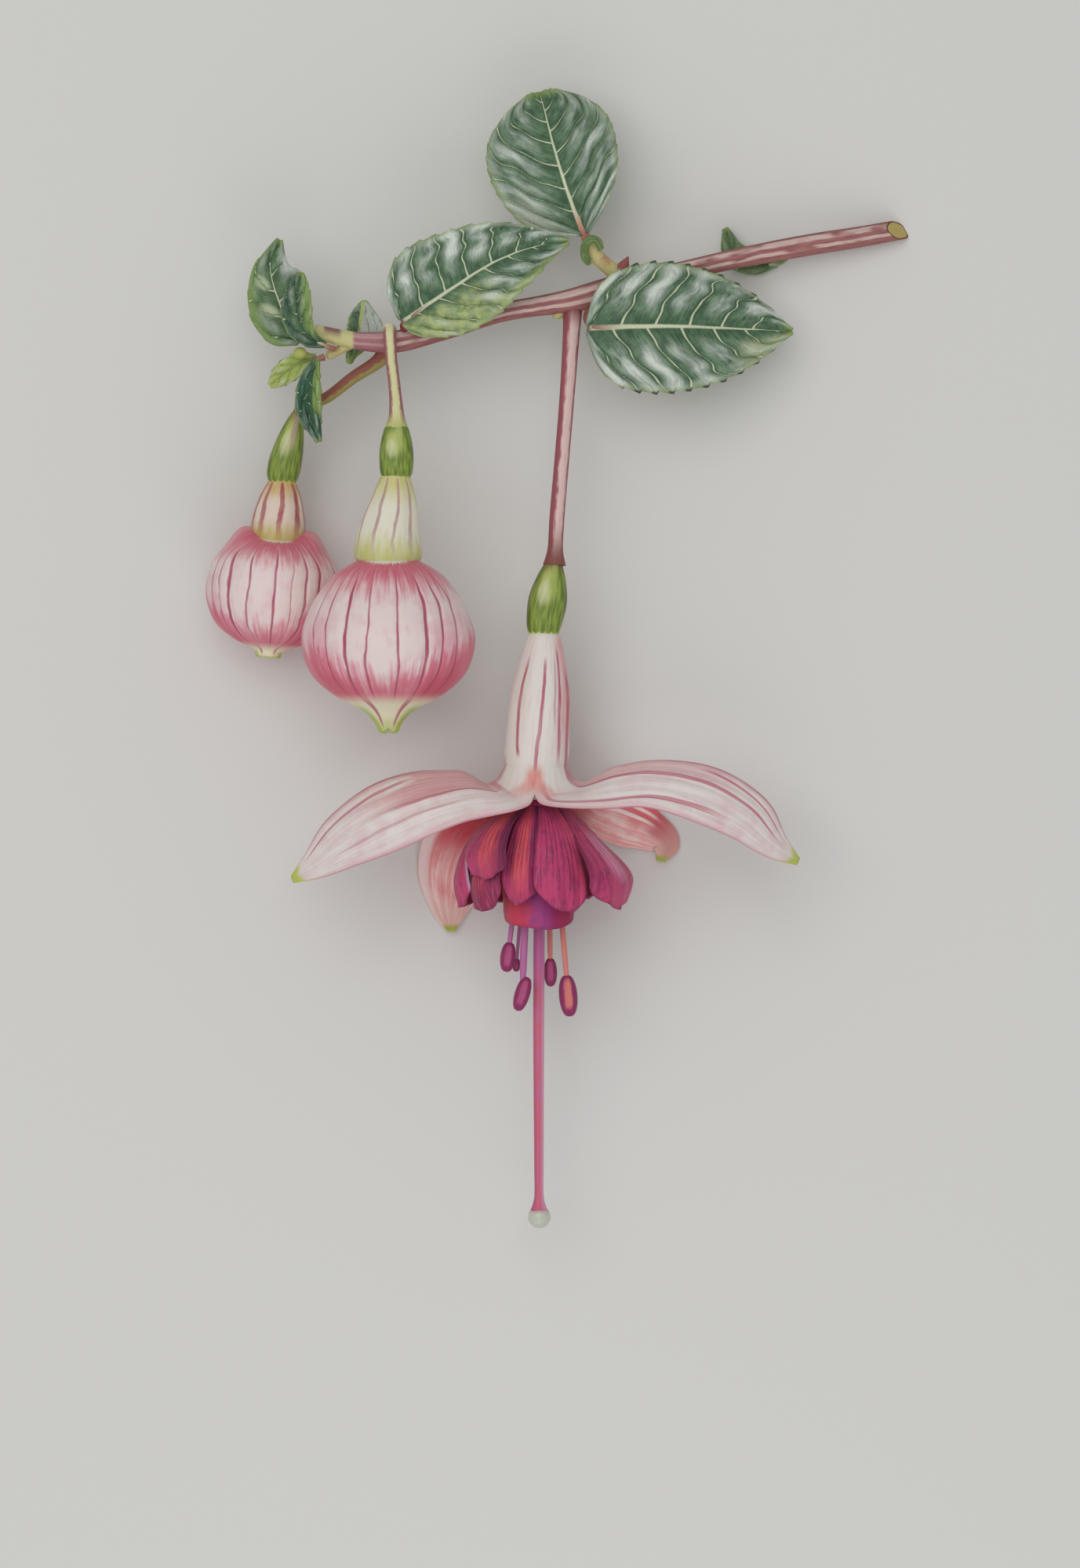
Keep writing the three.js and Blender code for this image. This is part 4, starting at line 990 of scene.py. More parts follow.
BUD_TUBES = {
    "large_bud_tube": {
        "axis": [[-24.6, 27.6, 22.2], [-24.9, 24, 22.2], [-25.7, 18, 22.2], [-25.8, 14.4, 22.2]],
        "radius": [[0, 2.2], [0.25, 3.5], [0.5, 4.4], [0.8, 5.1], [0.94, 5.1], [1, 4.6]],
        "tones": [(232, 228, 208), (178, 132, 138), (206, 200, 104), (198, 202, 112)],
        "marks": [(26, 4, 0.8), (64, 5, 0.8), (101, 4, 0.8), (134, 6, 0.7)],
    },
    "small_bud_tube": {
        "axis": [[-42.2, 27.2, 9.3], [-43, 18, 9.3]],
        "radius": [[0, 2.1], [0.3, 3.4], [0.7, 4.2], [0.93, 4.0], [1, 3.3]],
        "tones": [(230, 212, 196), (172, 84, 84), (208, 168, 72), (196, 182, 78)],
        "marks": [(18, 12, 1.0), (50, 9, 0.9), (94, 8, 1.0), (136, 10, 1.0), (164, 9, 0.8)],
    },
}


def rounded_end(angle, t):
    """The lower end hangs a little lower in front and behind."""
    return 0.7 * np.sin(angle) ** 2 * step(t, 0.75, 1)


for tube_name, tube in BUD_TUBES.items():
    radius = through(tube["radius"])
    shell = bar(tube["axis"], radius, sides=96, relief=tube_ribs, bulge=(0, 0.4), slide=rounded_end)
    piece(tube_name, [shell], bud_tube_look(tube_name, *tube["tones"], tube["marks"]), "calyx", tube_name)


def bud_look(name, marks, white, end):
    """White in front with crimson lines, pink strokes at its shoulders, sides and lower end, and a green tip.
    white is where it's whitest: degrees round, half width and the share of the length where pink starts."""
    look = Look(name, **TISSUE)
    t, front = look.t, folded(look.u)
    brush, thread = look.strokes(t * 5, look.u * 60), look.strokes(t * 3, look.u * 130, 2)
    wander = look.strokes(t * 3, look.u * 8, 2) - 0.5
    cloud, fine = look.noise(2.4, 3), look.noise(0.25, 2)
    stroke = thread * 0.6 + brush * 0.8 - 0.7
    aside = abs(front - white[0])
    shoulder = step(t + stroke * 0.3, 0.3, 0.02)
    side = step(aside + wander * 30, white[1], white[1] + 30) * step(t, 0.2, white[2])
    lower = step(t + stroke * 0.35 + (aside / 90) ** 2 * 0.3, white[2] + 0.02, end - 0.06)
    far = step(abs(front - 90) + wander * 24, 56, 72)
    pink = shoulder * 0.8 + side * 0.7 + lower * 0.9 + stroke * 0.6 + (cloud - 0.5) * 1.0
    look.colour = look.mix((236, 218, 214), (224, 134, 154), pink * (1 - far * 0.35))
    deep = side * lower * 0.9 + step(t + stroke * 0.5, 0.24, 0.02)
    deep = deep + lower * step(t, end - 0.2, end - 0.06) * 0.6
    look.paint((208, 84, 108), deep * (brush * 1.2 + 0.25) * (1 - far * 0.35))
    crimson = lines(front + wander * 10, marks, (brush * 0.9 + 0.6) * step(t, 0.0, 0.25))
    look.paint((176, 74, 98), crimson * (thread * 0.5 + brush * 0.5 + 0.45))
    pale = step(t, end - 0.06, end + 0.02)
    look.paint((234, 228, 196), pale)
    green = step(t, end + 0.05, 1.0) * 0.8 + step(abs(front - 90), 34, 62) * step(t, end - 0.01, end + 0.05)
    look.paint((172, 188, 84), green * (brush * 0.7 + 0.5))
    last = line(abs(abs(front - 90) - 28), 6) * step(t, 1.0, 0.95)
    look.paint((186, 84, 104), last * pale * (brush + 0.35))
    ring = step(t + (thread - 0.5) * 0.05 + (front - 90) ** 2 * 1.2e-5, 0.03, 0.012)
    look.paint((236, 230, 222), ring)
    return look.finish(fine * 0.15 + 0.45, fine * 0.3 + brush * 0.5, 0.1)


def seams(marks):
    """Sinks the surface a little along each mark."""

    def relief(angle, t):
        front = folded(angle / (2 * np.pi))
        depth = sum(strong**2 * np.exp(-(((front - at) / (width * 1.3)) ** 2)) for at, width, strong in marks)
        return 1 - 0.022 * depth * np.sin(np.pi * t) ** 0.6

    return relief


# Each crimson line by its degrees round from the left, its half width and its strength.
LARGE_MARKS = [
    (31, 0.9, 0.75), (44, 1.1, 0.85), (60, 1.7, 1.0), (76, 1.0, 0.85), (98, 1.1, 0.9), (118, 1.6, 1.0),
    (131, 1.4, 0.9), (145, 1.3, 0.85),
]
SMALL_MARKS = [
    (9, 1.2, 0.6), (26, 1.2, 0.8), (38, 1.1, 0.7), (49, 2.2, 1.0), (69, 1.3, 0.85), (93, 1.5, 0.9),
    (108, 0.8, 0.6), (121, 1.5, 0.9), (135, 1.8, 1.0), (160, 1.3, 0.8),
]


def split_tip(angle, t):
    """Two points at the left and the right of the tip, with a notch between them."""
    return 0.7 * (np.abs(np.cos(angle)) - 0.5) * step(t, 0.93, 1)


def raised_shoulders(angle, t):
    """The sepals' shoulders stand up on both sides of the tube."""
    return -2.3 * np.cos(angle) ** 4 * np.exp(-(((t - 0.03) / 0.06) ** 2))


BUDS = {
    "large_bud_calyx": {
        "axis": [[-25.8, 14.65, 22.2], [-25.7, -11, 22.2]],
        "radius": [
            [0, 4.9], [0.066, 7.8], [0.143, 9.7], [0.274, 11.8], [0.444, 13.2], [0.598, 12.6], [0.703, 11],
            [0.807, 7.7], [0.884, 4], [0.954, 2.1], [1, 1.4],
        ],
        "marks": LARGE_MARKS,
        "white": (88, 22, 0.55),
        "end": 0.84,
        "slide": split_tip,
    },
    "small_bud_calyx": {
        "axis": [[-42.95, 18.1, 9.3], [-44.4, 0.3, 9.3]],
        "radius": [
            [0, 3.7], [0.05, 6.3], [0.15, 8.9], [0.3, 10.1], [0.5, 10.3], [0.68, 9.2], [0.78, 7.8],
            [0.88, 5], [0.94, 2.4], [1, 1.9],
        ],
        "marks": SMALL_MARKS,
        "white": (82, 30, 0.62),
        "end": 0.935,
        "slide": raised_shoulders,
    },
}
for bud_name, bud in BUDS.items():
    radius, relief = through(bud["radius"]), seams(bud["marks"])
    shell = bar(bud["axis"], radius, sides=240, steps=150, relief=relief, bulge=(0, 0.2), slide=bud["slide"])
    piece(bud_name, [shell], bud_look(bud_name, bud["marks"], bud["white"], bud["end"]), "bud", bud_name)


# The tube and sepals of the open flower. They share one paint where they meet, by their place round its axis.

BELL_TOP = -15.6  # y where the sepals' feet start on the tube
# The bell's radius and drop by the distance along it.
BELL = through([[0, 4.66], [1.5, 5.0], [3, 5.6], [4.5, 6.75], [6, 8.1], [14, 16]])
BELL_DROP = through([[0, 0], [1.5, 1.5], [3, 2.8], [4.5, 3.7], [6, 4.2], [14, 4.2]])
FOOT = 5.0  # distance along the bell at which a sepal's own curve starts
FOOT_SINK = 0.23  # how far a sepal's foot starts inside the tube's surface
FRONT_DROP = 0.48  # how much more the bell drops in front and behind than at its sides, as a share
OVERLAP = 3  # degrees by which neighbours overlap, so that no slit shows
SEPAL_GRID = (48, 120)


def tube_axis_x(y):
    """The tube leans to the left a little on its way down."""
    return y * 0.06 - 2.3


def calyx_paint(look):
    """Cream-white with crimson lines, a pink right side, salmon strokes above the front notch, and a crimson
    crease where each front sepal turns away from the bell."""
    x, y = look.x - tube_axis_x(look.y), look.y
    turn = abs((look.z - FLOWER_HEIGHT).math("ARCTAN2", -x)) * (180 / np.pi)
    brush = look.strokes(y * 0.22, turn * 0.14)
    wander = look.strokes(y * 0.16, turn * 0.02, 2) - 0.5
    colour = look.mix((232, 226, 218), (230, 202, 198), step(brush, 0.48, 0.72) * 0.6)
    pink = step(turn, 112, 150) * step(y, -17, -9) + step(y, -15.5, -18) * step(abs(turn - 90), 60, 84) * 0.7
    colour = look.mix(colour, (222, 158, 164), pink * (brush * 0.9 + 0.35))
    middle = line(abs(turn - 98 - y * 0.5 + wander * 10), 4.2) * step(y, 0.6, -1.5) * step(y, -18.4, -16.6)
    left = line(abs(turn - 49 + (y + 8) ** 2 * -0.09 + wander * 10), 4.4)
    left = left * step(y, 1.2, -2.0) * step(y, -15.5, -14.0)
    right = line(abs(turn - 131 + wander * 10), 4.4) * step(y, 2.5, 0.0) * step(y, -17.5, -13.0)
    beside = line(abs(turn - 120 + wander * 14), 3) * step(y, 1.0, -2.0) * step(y, -12.0, -8.0) * 0.6
    edge = line(abs(turn - 154 + wander * 8), 7) * step(y, -1, -4)
    marks = most(middle, left, right, edge, beside)
    colour = look.mix(colour, (184, 92, 112), marks * (brush * 0.8 + 0.45))
    notch = abs(abs(turn - 88) - step(y, -18.0, -22.0) * 24)
    salmon = step(notch, 22, 5) * step(y, -15.8, -18.0)
    colour = look.mix(colour, (226, 136, 126), salmon * (brush * 1.1 + 0.3))
    crease = abs(look.y + 19.0 + (look.x + 10.0) * 0.68) * 0.85
    crease = step(crease, 0.6, 0.2) * step(look.x, -11.4, -10.4) * step(look.x, -5.6, -7.0)
    fold = abs(look.y + 19.9 - (look.x - 4.5) * 0.95) * 0.75
    fold = step(fold, 0.6, 0.2) * step(look.x, 2.6, 3.6) * step(look.x, 7.4, 6.2)
    low = line(abs(y + 21.2 - abs(x + 0.4) * 0.1), 0.3)
    low = low * step(abs(x), 1.5, 3.5) * step(abs(x), 9.0, 6.0) * 0.7
    colour = look.mix(colour, (180, 76, 98), (crease + fold + low).clamped() * (brush * 0.5 + 0.65))
    flare = step(y, -14.0, -17.0) * step(abs(turn - 90), 60, 78)
    return look.mix(colour, (190, 88, 106), flare * (brush * 0.9 + 0.35))


def flower_tube():
    look = Look("flower_tube", **TISSUE)
    fine = look.noise(0.25, 2)
    foot = step(look.t, 0.06, 0.0)
    look.colour = look.mix(calyx_paint(look), (222, 216, 196), foot * 0.6)
    look.finish(fine * 0.15 + 0.42, fine, 0.05)
    axis = [[tube_axis_x(y), y, FLOWER_HEIGHT] for y in (3.8, -5.0, -12.0, -18.9)]
    radius = through([[0, 2.45], [0.2, 3.7], [0.42, 4.7], [0.65, 4.92], [0.82, 4.95], [0.87, 4.93], [1, 4.5]])
    shell = bar(axis, radius, sides=128, steps=120, relief=tube_ribs)
    piece("flower_tube", [shell], look.material, "calyx", "flower_tube")


flower_tube()


def sepal_veins(s, t, reach):
    return 0.22 * np.cos(2.5 * np.pi * s) ** 2 * np.sin(np.pi * t) + 0.2 * np.sin(7 * t) * s**3


def flared(spec):
    """A sepal whose foot grows out of a quarter of the bell, about the angle middle, in degrees."""
    shape = leaf_surface({**spec, "relief": sepal_veins})
    length = Path(spec["spine"]).length
    lift = np.array([0, spec.get("lift", 0), 0])
    sag = np.array([0, -spec.get("sag", 0), 0])

    def surface(s, t):
        far = t * (length + FOOT)
        quarter = 45 + OVERLAP * step(far, 4.5, 2.5)
        angle = np.radians(spec["middle"] + spec["turn"] * quarter * s)
        out = BELL(far) - FOOT_SINK * (1 - step(far, 0.0, 2.5))
        y = BELL_TOP - BELL_DROP(far) * (1 + FRONT_DROP * np.sin(angle) ** 2)
        bell = np.stack([tube_axis_x(y) + out * np.cos(angle), y, FLOWER_HEIGHT + out * np.sin(angle)], -1)
        share = step(far, 3.5, 12.0)[..., None]
        near = np.exp(-(((far - 8) / 3.2) ** 2))
        raised = near * step(s * spec["pale_side"], 0.1, 0.95)
        hanging = near * step(s * spec["pale_side"], 0.1, -0.95)
        place = bell * (1 - share) + shape(s, np.clip((far - FOOT) / length, 0, 1)) * share
        return place + lift * raised[..., None] + sag * hanging[..., None]

    return surface


def left_marks(v, t):
    """The left sepal's crimson lines: two at its upper margin, one that bounds its wash, and a faint one."""
    pair = line(abs(v - 0.66 + (t - 0.6) * 0.3), 0.06) * step(t, 0.38, 0.5) * step(t, 0.95, 0.86)
    outer = step(v, 0.88, 0.98) * step(t, 0.3, 0.5)
    bound = line(abs(v - 0.06), 0.05) * step(t, 0.08, 0.16) * step(t, 0.62, 0.45)
    faint = line(abs(v + 0.34), 0.05) * step(t, 0.25, 0.4) * step(t, 0.85, 0.7) * 0.6
    return most(pair, outer, bound, faint)


def right_marks(v, t):
    """The right sepal's: one along its upper third, a broad one near its lower margin, and its far margin."""
    upper = line(abs(v - 0.34 + (t - 0.5) * 0.2), 0.07) * step(t, 0.06, 0.14) * step(t, 0.95, 0.8)
    lower = line(abs(v + 0.62 - (t - 0.3) * 0.35), 0.1) * step(t, 0.0, 0.08) * step(t, 0.72, 0.55)
    outer = step(v, 0.86, 0.98) * step(t, 0.1, 0.3)
    inner = line(abs(v - 0.7 + (t - 0.7) * 0.4), 0.05) * step(t, 0.5, 0.6) * step(t, 0.95, 0.85)
    return most(upper, lower, outer, inner)


def front_sepal_look(name, upper):
    """White with mauve streaks, a pink wash over the upper half of its foot, crimson lines and a yellow-green
    tip. upper is the side that the upper margin is on: 1 or -1."""
    look = Look(name, **TISSUE)
    v, t = look.s * upper, look.t
    is_left = upper == 1
    brush, thread = look.strokes(t * 4, v * 14), look.strokes(t * 6, v * 40, 2)
    cloud, fine = look.noise(2.4, 3), look.noise(0.25, 2)
    at = v + (look.strokes(t * 4, v * 1.2, 2) - 0.5) * 0.16
    look.colour = look.mix((232, 224, 218), (222, 178, 184), (brush - 0.4) * 1.6 + (cloud - 0.5) * 1.4)
    above_line = step(at, 0.0, 0.14) if is_left else step(at, 0.3, 0.46)
    wash = above_line * step(t, 0.72, 0.44) * step(t, 0.04, 0.14)
    oval = step(((v - 0.72) / 0.24) ** 2 + ((t - 0.54) / 0.12) ** 2, 0.4, 1.3) if is_left else 0.7
    look.paint((210, 140, 146), wash * oval * (brush * 0.9 + thread * 0.5))
    look.paint((216, 160, 168), step(abs(v), 0.74, 1.0) * (brush * 0.8 + 0.25))
    crimson = (left_marks if is_left else right_marks)(at, t)
    look.paint((188, 104, 120), crimson * (brush * 0.8 + 0.4))
    look.paint((196, 140, 152), step(v, -0.92, -0.99) * step(t, 0.1, 0.3) * 0.8)
    look.colour = look.mix(calyx_paint(look), look.colour, step(t, 0.04, 0.16))
    tip = step(t + abs(v) * 0.02, 0.95, 0.985)
    look.paint((190, 200, 92), tip + step(abs(v), 0.9, 1.0) * step(t, 0.88, 0.93))
    # The inner face, which lies below, is a plain deeper pink.
    inner = look.mix((220, 152, 158), (204, 116, 128), brush)
    look.paint(inner, look.field("under") * 0.85)
    return look.finish(fine * 0.15 + 0.45, fine * 0.3 + brush * 0.5, 0.1)


def back_sepal_look(name, outer):
    """A sepal's salmon inner face: deep red at its foot, with soft white strokes, a pale margin and a green
    tip. outer is the side that the pale margin is on: 1 or -1."""
    look = Look(name, **{**TISSUE, "sheen_weight": 0.15})
    v, t = look.s * outer, look.t
    brush, thread = look.strokes(t * 2.5, v * 9), look.strokes(t * 3.5, v * 26)
    cloud, fine = look.noise(3.2, 2), look.noise(0.25, 2)
    ground = brush * 0.35 + thread * 0.35 + cloud * 0.3
    look.colour = look.mix((244, 162, 160), (255, 222, 216), step(ground, 0.42, 0.58))
    look.paint((220, 94, 100), step(t + (brush - 0.5) * 0.3, 0.52, 0.24) * (brush * 0.6 + 0.5))
    if name == "sepal_back_left":
        # Red in the upper part of its left side, and a pale band along the margin below.
        corner = step(v, -0.7, 0.2) * step(t, 0.78, 0.46)
        look.paint((204, 52, 70), corner * (thread * 0.8 + 0.65))
        look.paint((244, 216, 212), step(v + (brush - 0.5) * 0.15, 0.62, 0.8) * step(t, 0.3, 0.5))
    else:
        # Red towards its upper margin, with two white streaks and a rolled red end.
        look.paint((220, 84, 94), step(v, 0.0, -0.6) * (thread * 0.9 + 0.35))
        streaks = line(abs(abs(v + 0.5 + t * 0.1) - 0.16), 0.07) * step(t, 0.3, 0.45) * step(t, 0.88, 0.78)
        look.paint((255, 232, 228), streaks * (thread * 0.7 + 0.6))
        look.paint((190, 68, 84), step(t, 0.72, 0.86) * step(v, 0.35, -0.25) * 0.85)
    look.paint((206, 110, 118), step(abs(v), 0.93, 1.0) * 0.4)
    look.paint((232, 200, 184), step(t, 0.8, 0.95) * 0.6)
    look.paint((176, 190, 88), step(t, 0.955, 0.985))
    outside = look.mix(calyx_paint(look), (230, 192, 194), step(t, 0.12, 0.3) * (brush * 0.8 + 0.5))
    look.paint(outside, look.field("under"))
    return look.finish(fine * 0.15 + 0.45, fine * 0.3 + brush * 0.4, 0.12)


SEPALS = {
    "sepal_front_left": {
        "middle": 135,
        "turn": 1,
        "pale_side": 1,
        "spine": [
            [-8.1, -20.4, 20.2], [-12.6, -20.2, 22.4], [-19, -21.4, 24], [-26, -24.2, 23.8],
            [-32.4, -27.8, 21.8], [-37.5, -31.8, 18.8], [-40.4, -33.7, 16.8],
        ],
        "facing": [-0.3, 0.6, 0.7],
        "to": [-0.1, 0.35, 0.92],
        "left": [[0, 3.4], [0.15, 4.6], [0.35, 5.3], [0.55, 5.3], [0.75, 4], [0.9, 2.1], [1, 0.6]],
        "right": [[0, 3.4], [0.15, 4.8], [0.35, 6.3], [0.55, 6.4], [0.75, 4.9], [0.9, 2.4], [1, 0.6]],
        "lift": 0.6,
        "sag": 0.6,
        "arch": 0.04,
    },
    "sepal_front_right": {
        "middle": 45,
        "turn": 1,
        "pale_side": -1,
        "spine": [
            [2.7, -20.6, 20.5], [7, -19.8, 22.4], [14, -18.9, 23.8], [22.2, -20.6, 23.8], [28.5, -24, 22.2],
            [33, -28.4, 19.6], [36.6, -31, 17],
        ],
        "facing": [0.3, 0.6, 0.7],
        "to": [0.1, 0.35, 0.92],
        "left": [[0, 3.4], [0.15, 3.9], [0.35, 4.5], [0.55, 4.9], [0.75, 4.3], [0.9, 2.4], [1, 0.6]],
        "right": [[0, 3.4], [0.15, 3.8], [0.35, 4.4], [0.55, 4.6], [0.75, 3.6], [0.9, 2], [1, 0.6]],
        "lift": 1.0,
        "sag": 0.3,
        "arch": 0.04,
    },
    "sepal_back_left": {
        "middle": 225,
        "turn": -1,
        "pale_side": 1,
        "spine": [
            [-7.3, -21.3, 11], [-10.6, -24.2, 6.4], [-13.8, -28.2, 2.4], [-15.9, -33, 0.4],
            [-16.6, -38, 0.4], [-16.4, -42, 1.6],
        ],
        "facing": [0.4, -0.5, 0.8],
        "to": [0, 0.05, 1],
        "left": [[0, 3.4], [0.25, 5], [0.5, 6.6], [0.7, 5.6], [0.88, 2.9], [1, 0.6]],
        "arch": -0.012,
    },
    "sepal_back_right": {
        "middle": 315,
        "turn": -1,
        "pale_side": 1,
        "spine": [
            [1.7, -21.3, 11], [5.8, -23.6, 6.4], [9.8, -25.4, 2.4], [13.6, -26.9, 0.4], [16.2, -28.6, 0.4],
            [15.9, -31.2, 1.2],
        ],
        "facing": [-0.4, -0.5, 0.8],
        "to": [0, 0.05, 1],
        "left": [[0, 3.4], [0.3, 4.6], [0.6, 4.6], [0.85, 3.2], [1, 0.6]],
        "right": [[0, 2.8], [0.3, 3.2], [0.6, 3.2], [0.85, 1.9], [1, 0.6]],
        "arch": -0.012,
    },
}
for sepal_name, sepal in SEPALS.items():
    is_front = "front" in sepal_name
    sepal_look = (front_sepal_look if is_front else back_sepal_look)(sepal_name, sepal["pale_side"])
    slot = "calyx" if is_front else "inner_sepal"
    piece(sepal_name, [blade(flared(sepal), SEPAL_GRID, 0.5)], sepal_look, slot, sepal_name)


# The corolla.

# Petals by their place round the flower's axis (0 right, 90 up) and half spread, both in degrees, their
# length, their distance from the axis at three places, and what each has of its own. slant is how much longer
# it is at its right margin, and round the share of its length that its rounded end takes. warm is how
# orange-red it is about the place warm_at across it, covered which margin gets painted shade where the
# next petal lies over it, shade how dark the painted shade over the whole is, shine how strong the
# painted highlight down its middle is, and rim how pale its rolled margin is. The last four form the inner
# cup.
PETALS = [
    (72, 23, 15.9, [8.6, 11.2, 10.8], {"slant": 1.7, "warm": 0.2, "warm_at": -0.9}),
    (108, 19, 14.8, [7.6, 10, 9.4], {"slant": -0.7, "warm": 0.9, "covered": -1}),
    (138, 23, 11, [9.6, 12.2, 11.4], {"warm": 0.9, "warm_at": -0.3, "covered": -1}),
    (151, 25, 16, [8, 10.8, 9.8], {"slant": -0.4, "warm": 0.7, "shade": 0.6}),
    (184, 25, 15.6, [10.2, 12.6, 11.6], {"rim": 1.0}),
    (225, 30, 15, [8.2, 11, 9.8], {"warm": 0.5, "warm_at": 0.2}),
    (270, 30, 14.6, [9.2, 12, 11], {"warm": 0.8, "warm_at": -0.2}),
    (315, 30, 14.2, [8, 10.8, 10.2], {"warm": 0.4, "warm_at": 0.3}),
    (25, 31, 15.6, [8.8, 14.3, 13.4], {"shine": 1.0, "covered": 0.6}),
    (90, 74, 18.7, [5, 6.4, 6.7], {"round": 0.16, "cup": 1.0}),
    (270, 64, 18, [5, 6.2, 6], {"round": 0.08, "cup": 1.0}),
    (0, 45, 16.4, [4.6, 5.4, 5.2], {"round": 0.24, "cup": 1.0}),
    (180, 45, 16.4, [4.6, 5.4, 5.2], {"round": 0.24, "cup": 1.0}),
]
PETAL_FIELDS = ("warm", "warm_at", "covered", "shade", "rim", "shine", "cup")
PETAL_ROOT = 4.1  # their distance from the axis where they join
PETAL_GRID = (44, 56)
FAN = through([[0, 0.85], [0.3, 0.92], [0.65, 1], [1, 1]])


def round_axis(angle, out, down):
    """Points at an angle round the flower's axis, out from it and down from the mouth of its tube."""
    x, y, z = MOUTH[0] + out * np.cos(angle), MOUTH[1] - down, FLOWER_HEIGHT + out * np.sin(angle)
    return np.stack(np.broadcast_arrays(x, y, z), -1)


def petal(number, place, spread, length, reach, own):
    radius = through([[0, PETAL_ROOT], *zip((0.3, 0.7, 1), reach)])
    rounding, slant, ruffled = own.get("round", 0.28), own.get("slant", 0), 0.3 if "cup" in own else 1.0

    def surface(s, share):
        t = share * (1 - rounding * (1 - np.sqrt(1 - 0.95 * np.minimum(s * s, 1))))
        angle = np.radians(place + spread * s * FAN(t))
        ruffle = t**2 * (0.5 * np.sin(4 * s + 2.3 * number) + 0.2 * np.sin(11 * s + 7 * t + number))
        roll = 0.6 * step(np.abs(s), 0.72, 1.0) * np.sin(np.pi * t) * (0.6 + 0.4 * np.sin(9 * t + number))
        out = radius(t) - 1.3 * t * s * s + (ruffle + roll) * ruffled
        wave = 0.2 * np.sin(5 * s + number) * t**4
        down = 0.9 + length * t - slant * s * t**3 + wave
        return round_axis(angle, out, down)

    return blade(surface, PETAL_GRID, 0.4, **{key: own.get(key, 0.0) for key in PETAL_FIELDS})


def petal_look():
    """Magenta and violet, with orange-red bands, fine dark ribs fanning from the foot and painted highlights,
    and painted shade where the next petal covers them, at their foot and over a petal that lies in shade."""
    look = Look("petals", sheen_weight=0.1, specular_ior_level=0.3)
    s, t, cup = look.s, look.t, look.field("cup")
    brush, thread = look.strokes(t * 3, s * 9), look.strokes(t * 5, s * 26, 2)
    cloud, fine = look.noise(1.6, 3), look.noise(0.25, 2)
    ribs = ((s + (brush - 0.5) * 0.2) * 30).math("COSINE") * 0.5 + 0.5
    look.colour = look.mix((196, 64, 112), (166, 50, 100), step(cloud + (brush - 0.5) * 0.8, 0.46, 0.66))
    # Painted highlights: soft lighter pink patches, and a lighter streak down the middle of the petals that
    # have one.
    look.paint((218, 112, 148), step(cloud * 0.4 + thread * 0.6, 0.52, 0.68) * 0.55)
    shine = line(abs(s - 0.1 + (thread - 0.5) * 0.3), 0.4) * step(t, 0.2, 0.36) * step(t, 0.8, 0.6)
    look.paint((226, 140, 176), shine * look.field("shine") * (brush * 0.8 + 0.5))
    warm = line(abs(s - look.field("warm_at") + (brush - 0.5) * 0.6), 0.5)
    warm = warm * step(t + (thread - 0.5) * 0.5, 1.05, 0.6) * look.field("warm") * (cloud * 1.2 + 0.4)
    look.paint((220, 76, 94), warm)
    # Painted highlight: salmon streaks over the orange-red band.
    look.paint((232, 124, 118), warm * step(thread, 0.44, 0.66) * 0.7)
    # The inner cup is orange-red at its left, violet in its middle and magenta at its right.
    across = (look.x - MOUTH[0]) / 5.4
    inside = look.mix((212, 66, 86), (158, 62, 132), step(across + (cloud - 0.5) * 0.8, -0.6, 0.0))
    inside = look.mix(inside, (172, 40, 90), step(across, 0.15, 0.6))
    look.paint(inside, cup * (cloud * 0.6 + 0.6))
    ribbed = step(ribs, 0.35, 0.05) * step(t, 0.95, 0.4) * (brush * 0.9 + 0.2)
    look.paint((108, 28, 64), ribbed * 0.8)
    # Painted shade: dark at the margin that the next petal covers, and near the foot under the tube.
    covered = step(s * look.field("covered"), 0.25, 0.95) + step(t, 0.22, 0.0) * 0.5
    look.paint((92, 28, 66), covered * (brush * 0.7 + 0.5))
    edge = step(abs(s), 0.9, 1.0) + step(t, 0.96, 1.0) * 0.6
    look.paint((120, 30, 76), edge * 0.6)
    # Painted shade over the whole of a petal that lies in shade, broken by lighter threads.
    shade = look.field("shade") * (1 - step(thread, 0.5, 0.64) * 0.8)
    look.paint((104, 34, 66), shade)
    look.paint((196, 156, 184), step(abs(s), 0.88, 0.96) * look.field("rim") * 0.9)
    look.paint((112, 32, 72), look.field("under") * 0.4)
    return look.finish(fine * 0.15 + 0.48, ribs * 0.35 + fine * 0.3 + brush * 0.6, 0.14)


def ring(inner, outer, depth, sides=64):
    """A closed ring about the flower's axis, from its top face down."""
    angle = np.linspace(0, 2 * np.pi, sides + 1)[:-1]
    out, down = np.array([inner, outer, outer, inner]), np.array([depth, depth, 0, 0])
    places = round_axis(angle[:, None], out, down).reshape(-1, 3)
    faces = []
    for i in range(sides):
        after = (i + 1) % sides
        for k in range(4):
            following = (k + 1) % 4
            faces.append([i * 4 + k, i * 4 + following, after * 4 + following, after * 4 + k])
    return Shell(places, faces, np.full((len(faces) * 4, 2), 0.5))


corolla_shells = [petal(number, *spec) for number, spec in enumerate(PETALS)]
piece("corolla", [*corolla_shells, ring(3, 4.3, 3)], petal_look(), "corolla", "corolla")


# Stamens, style and stigma.

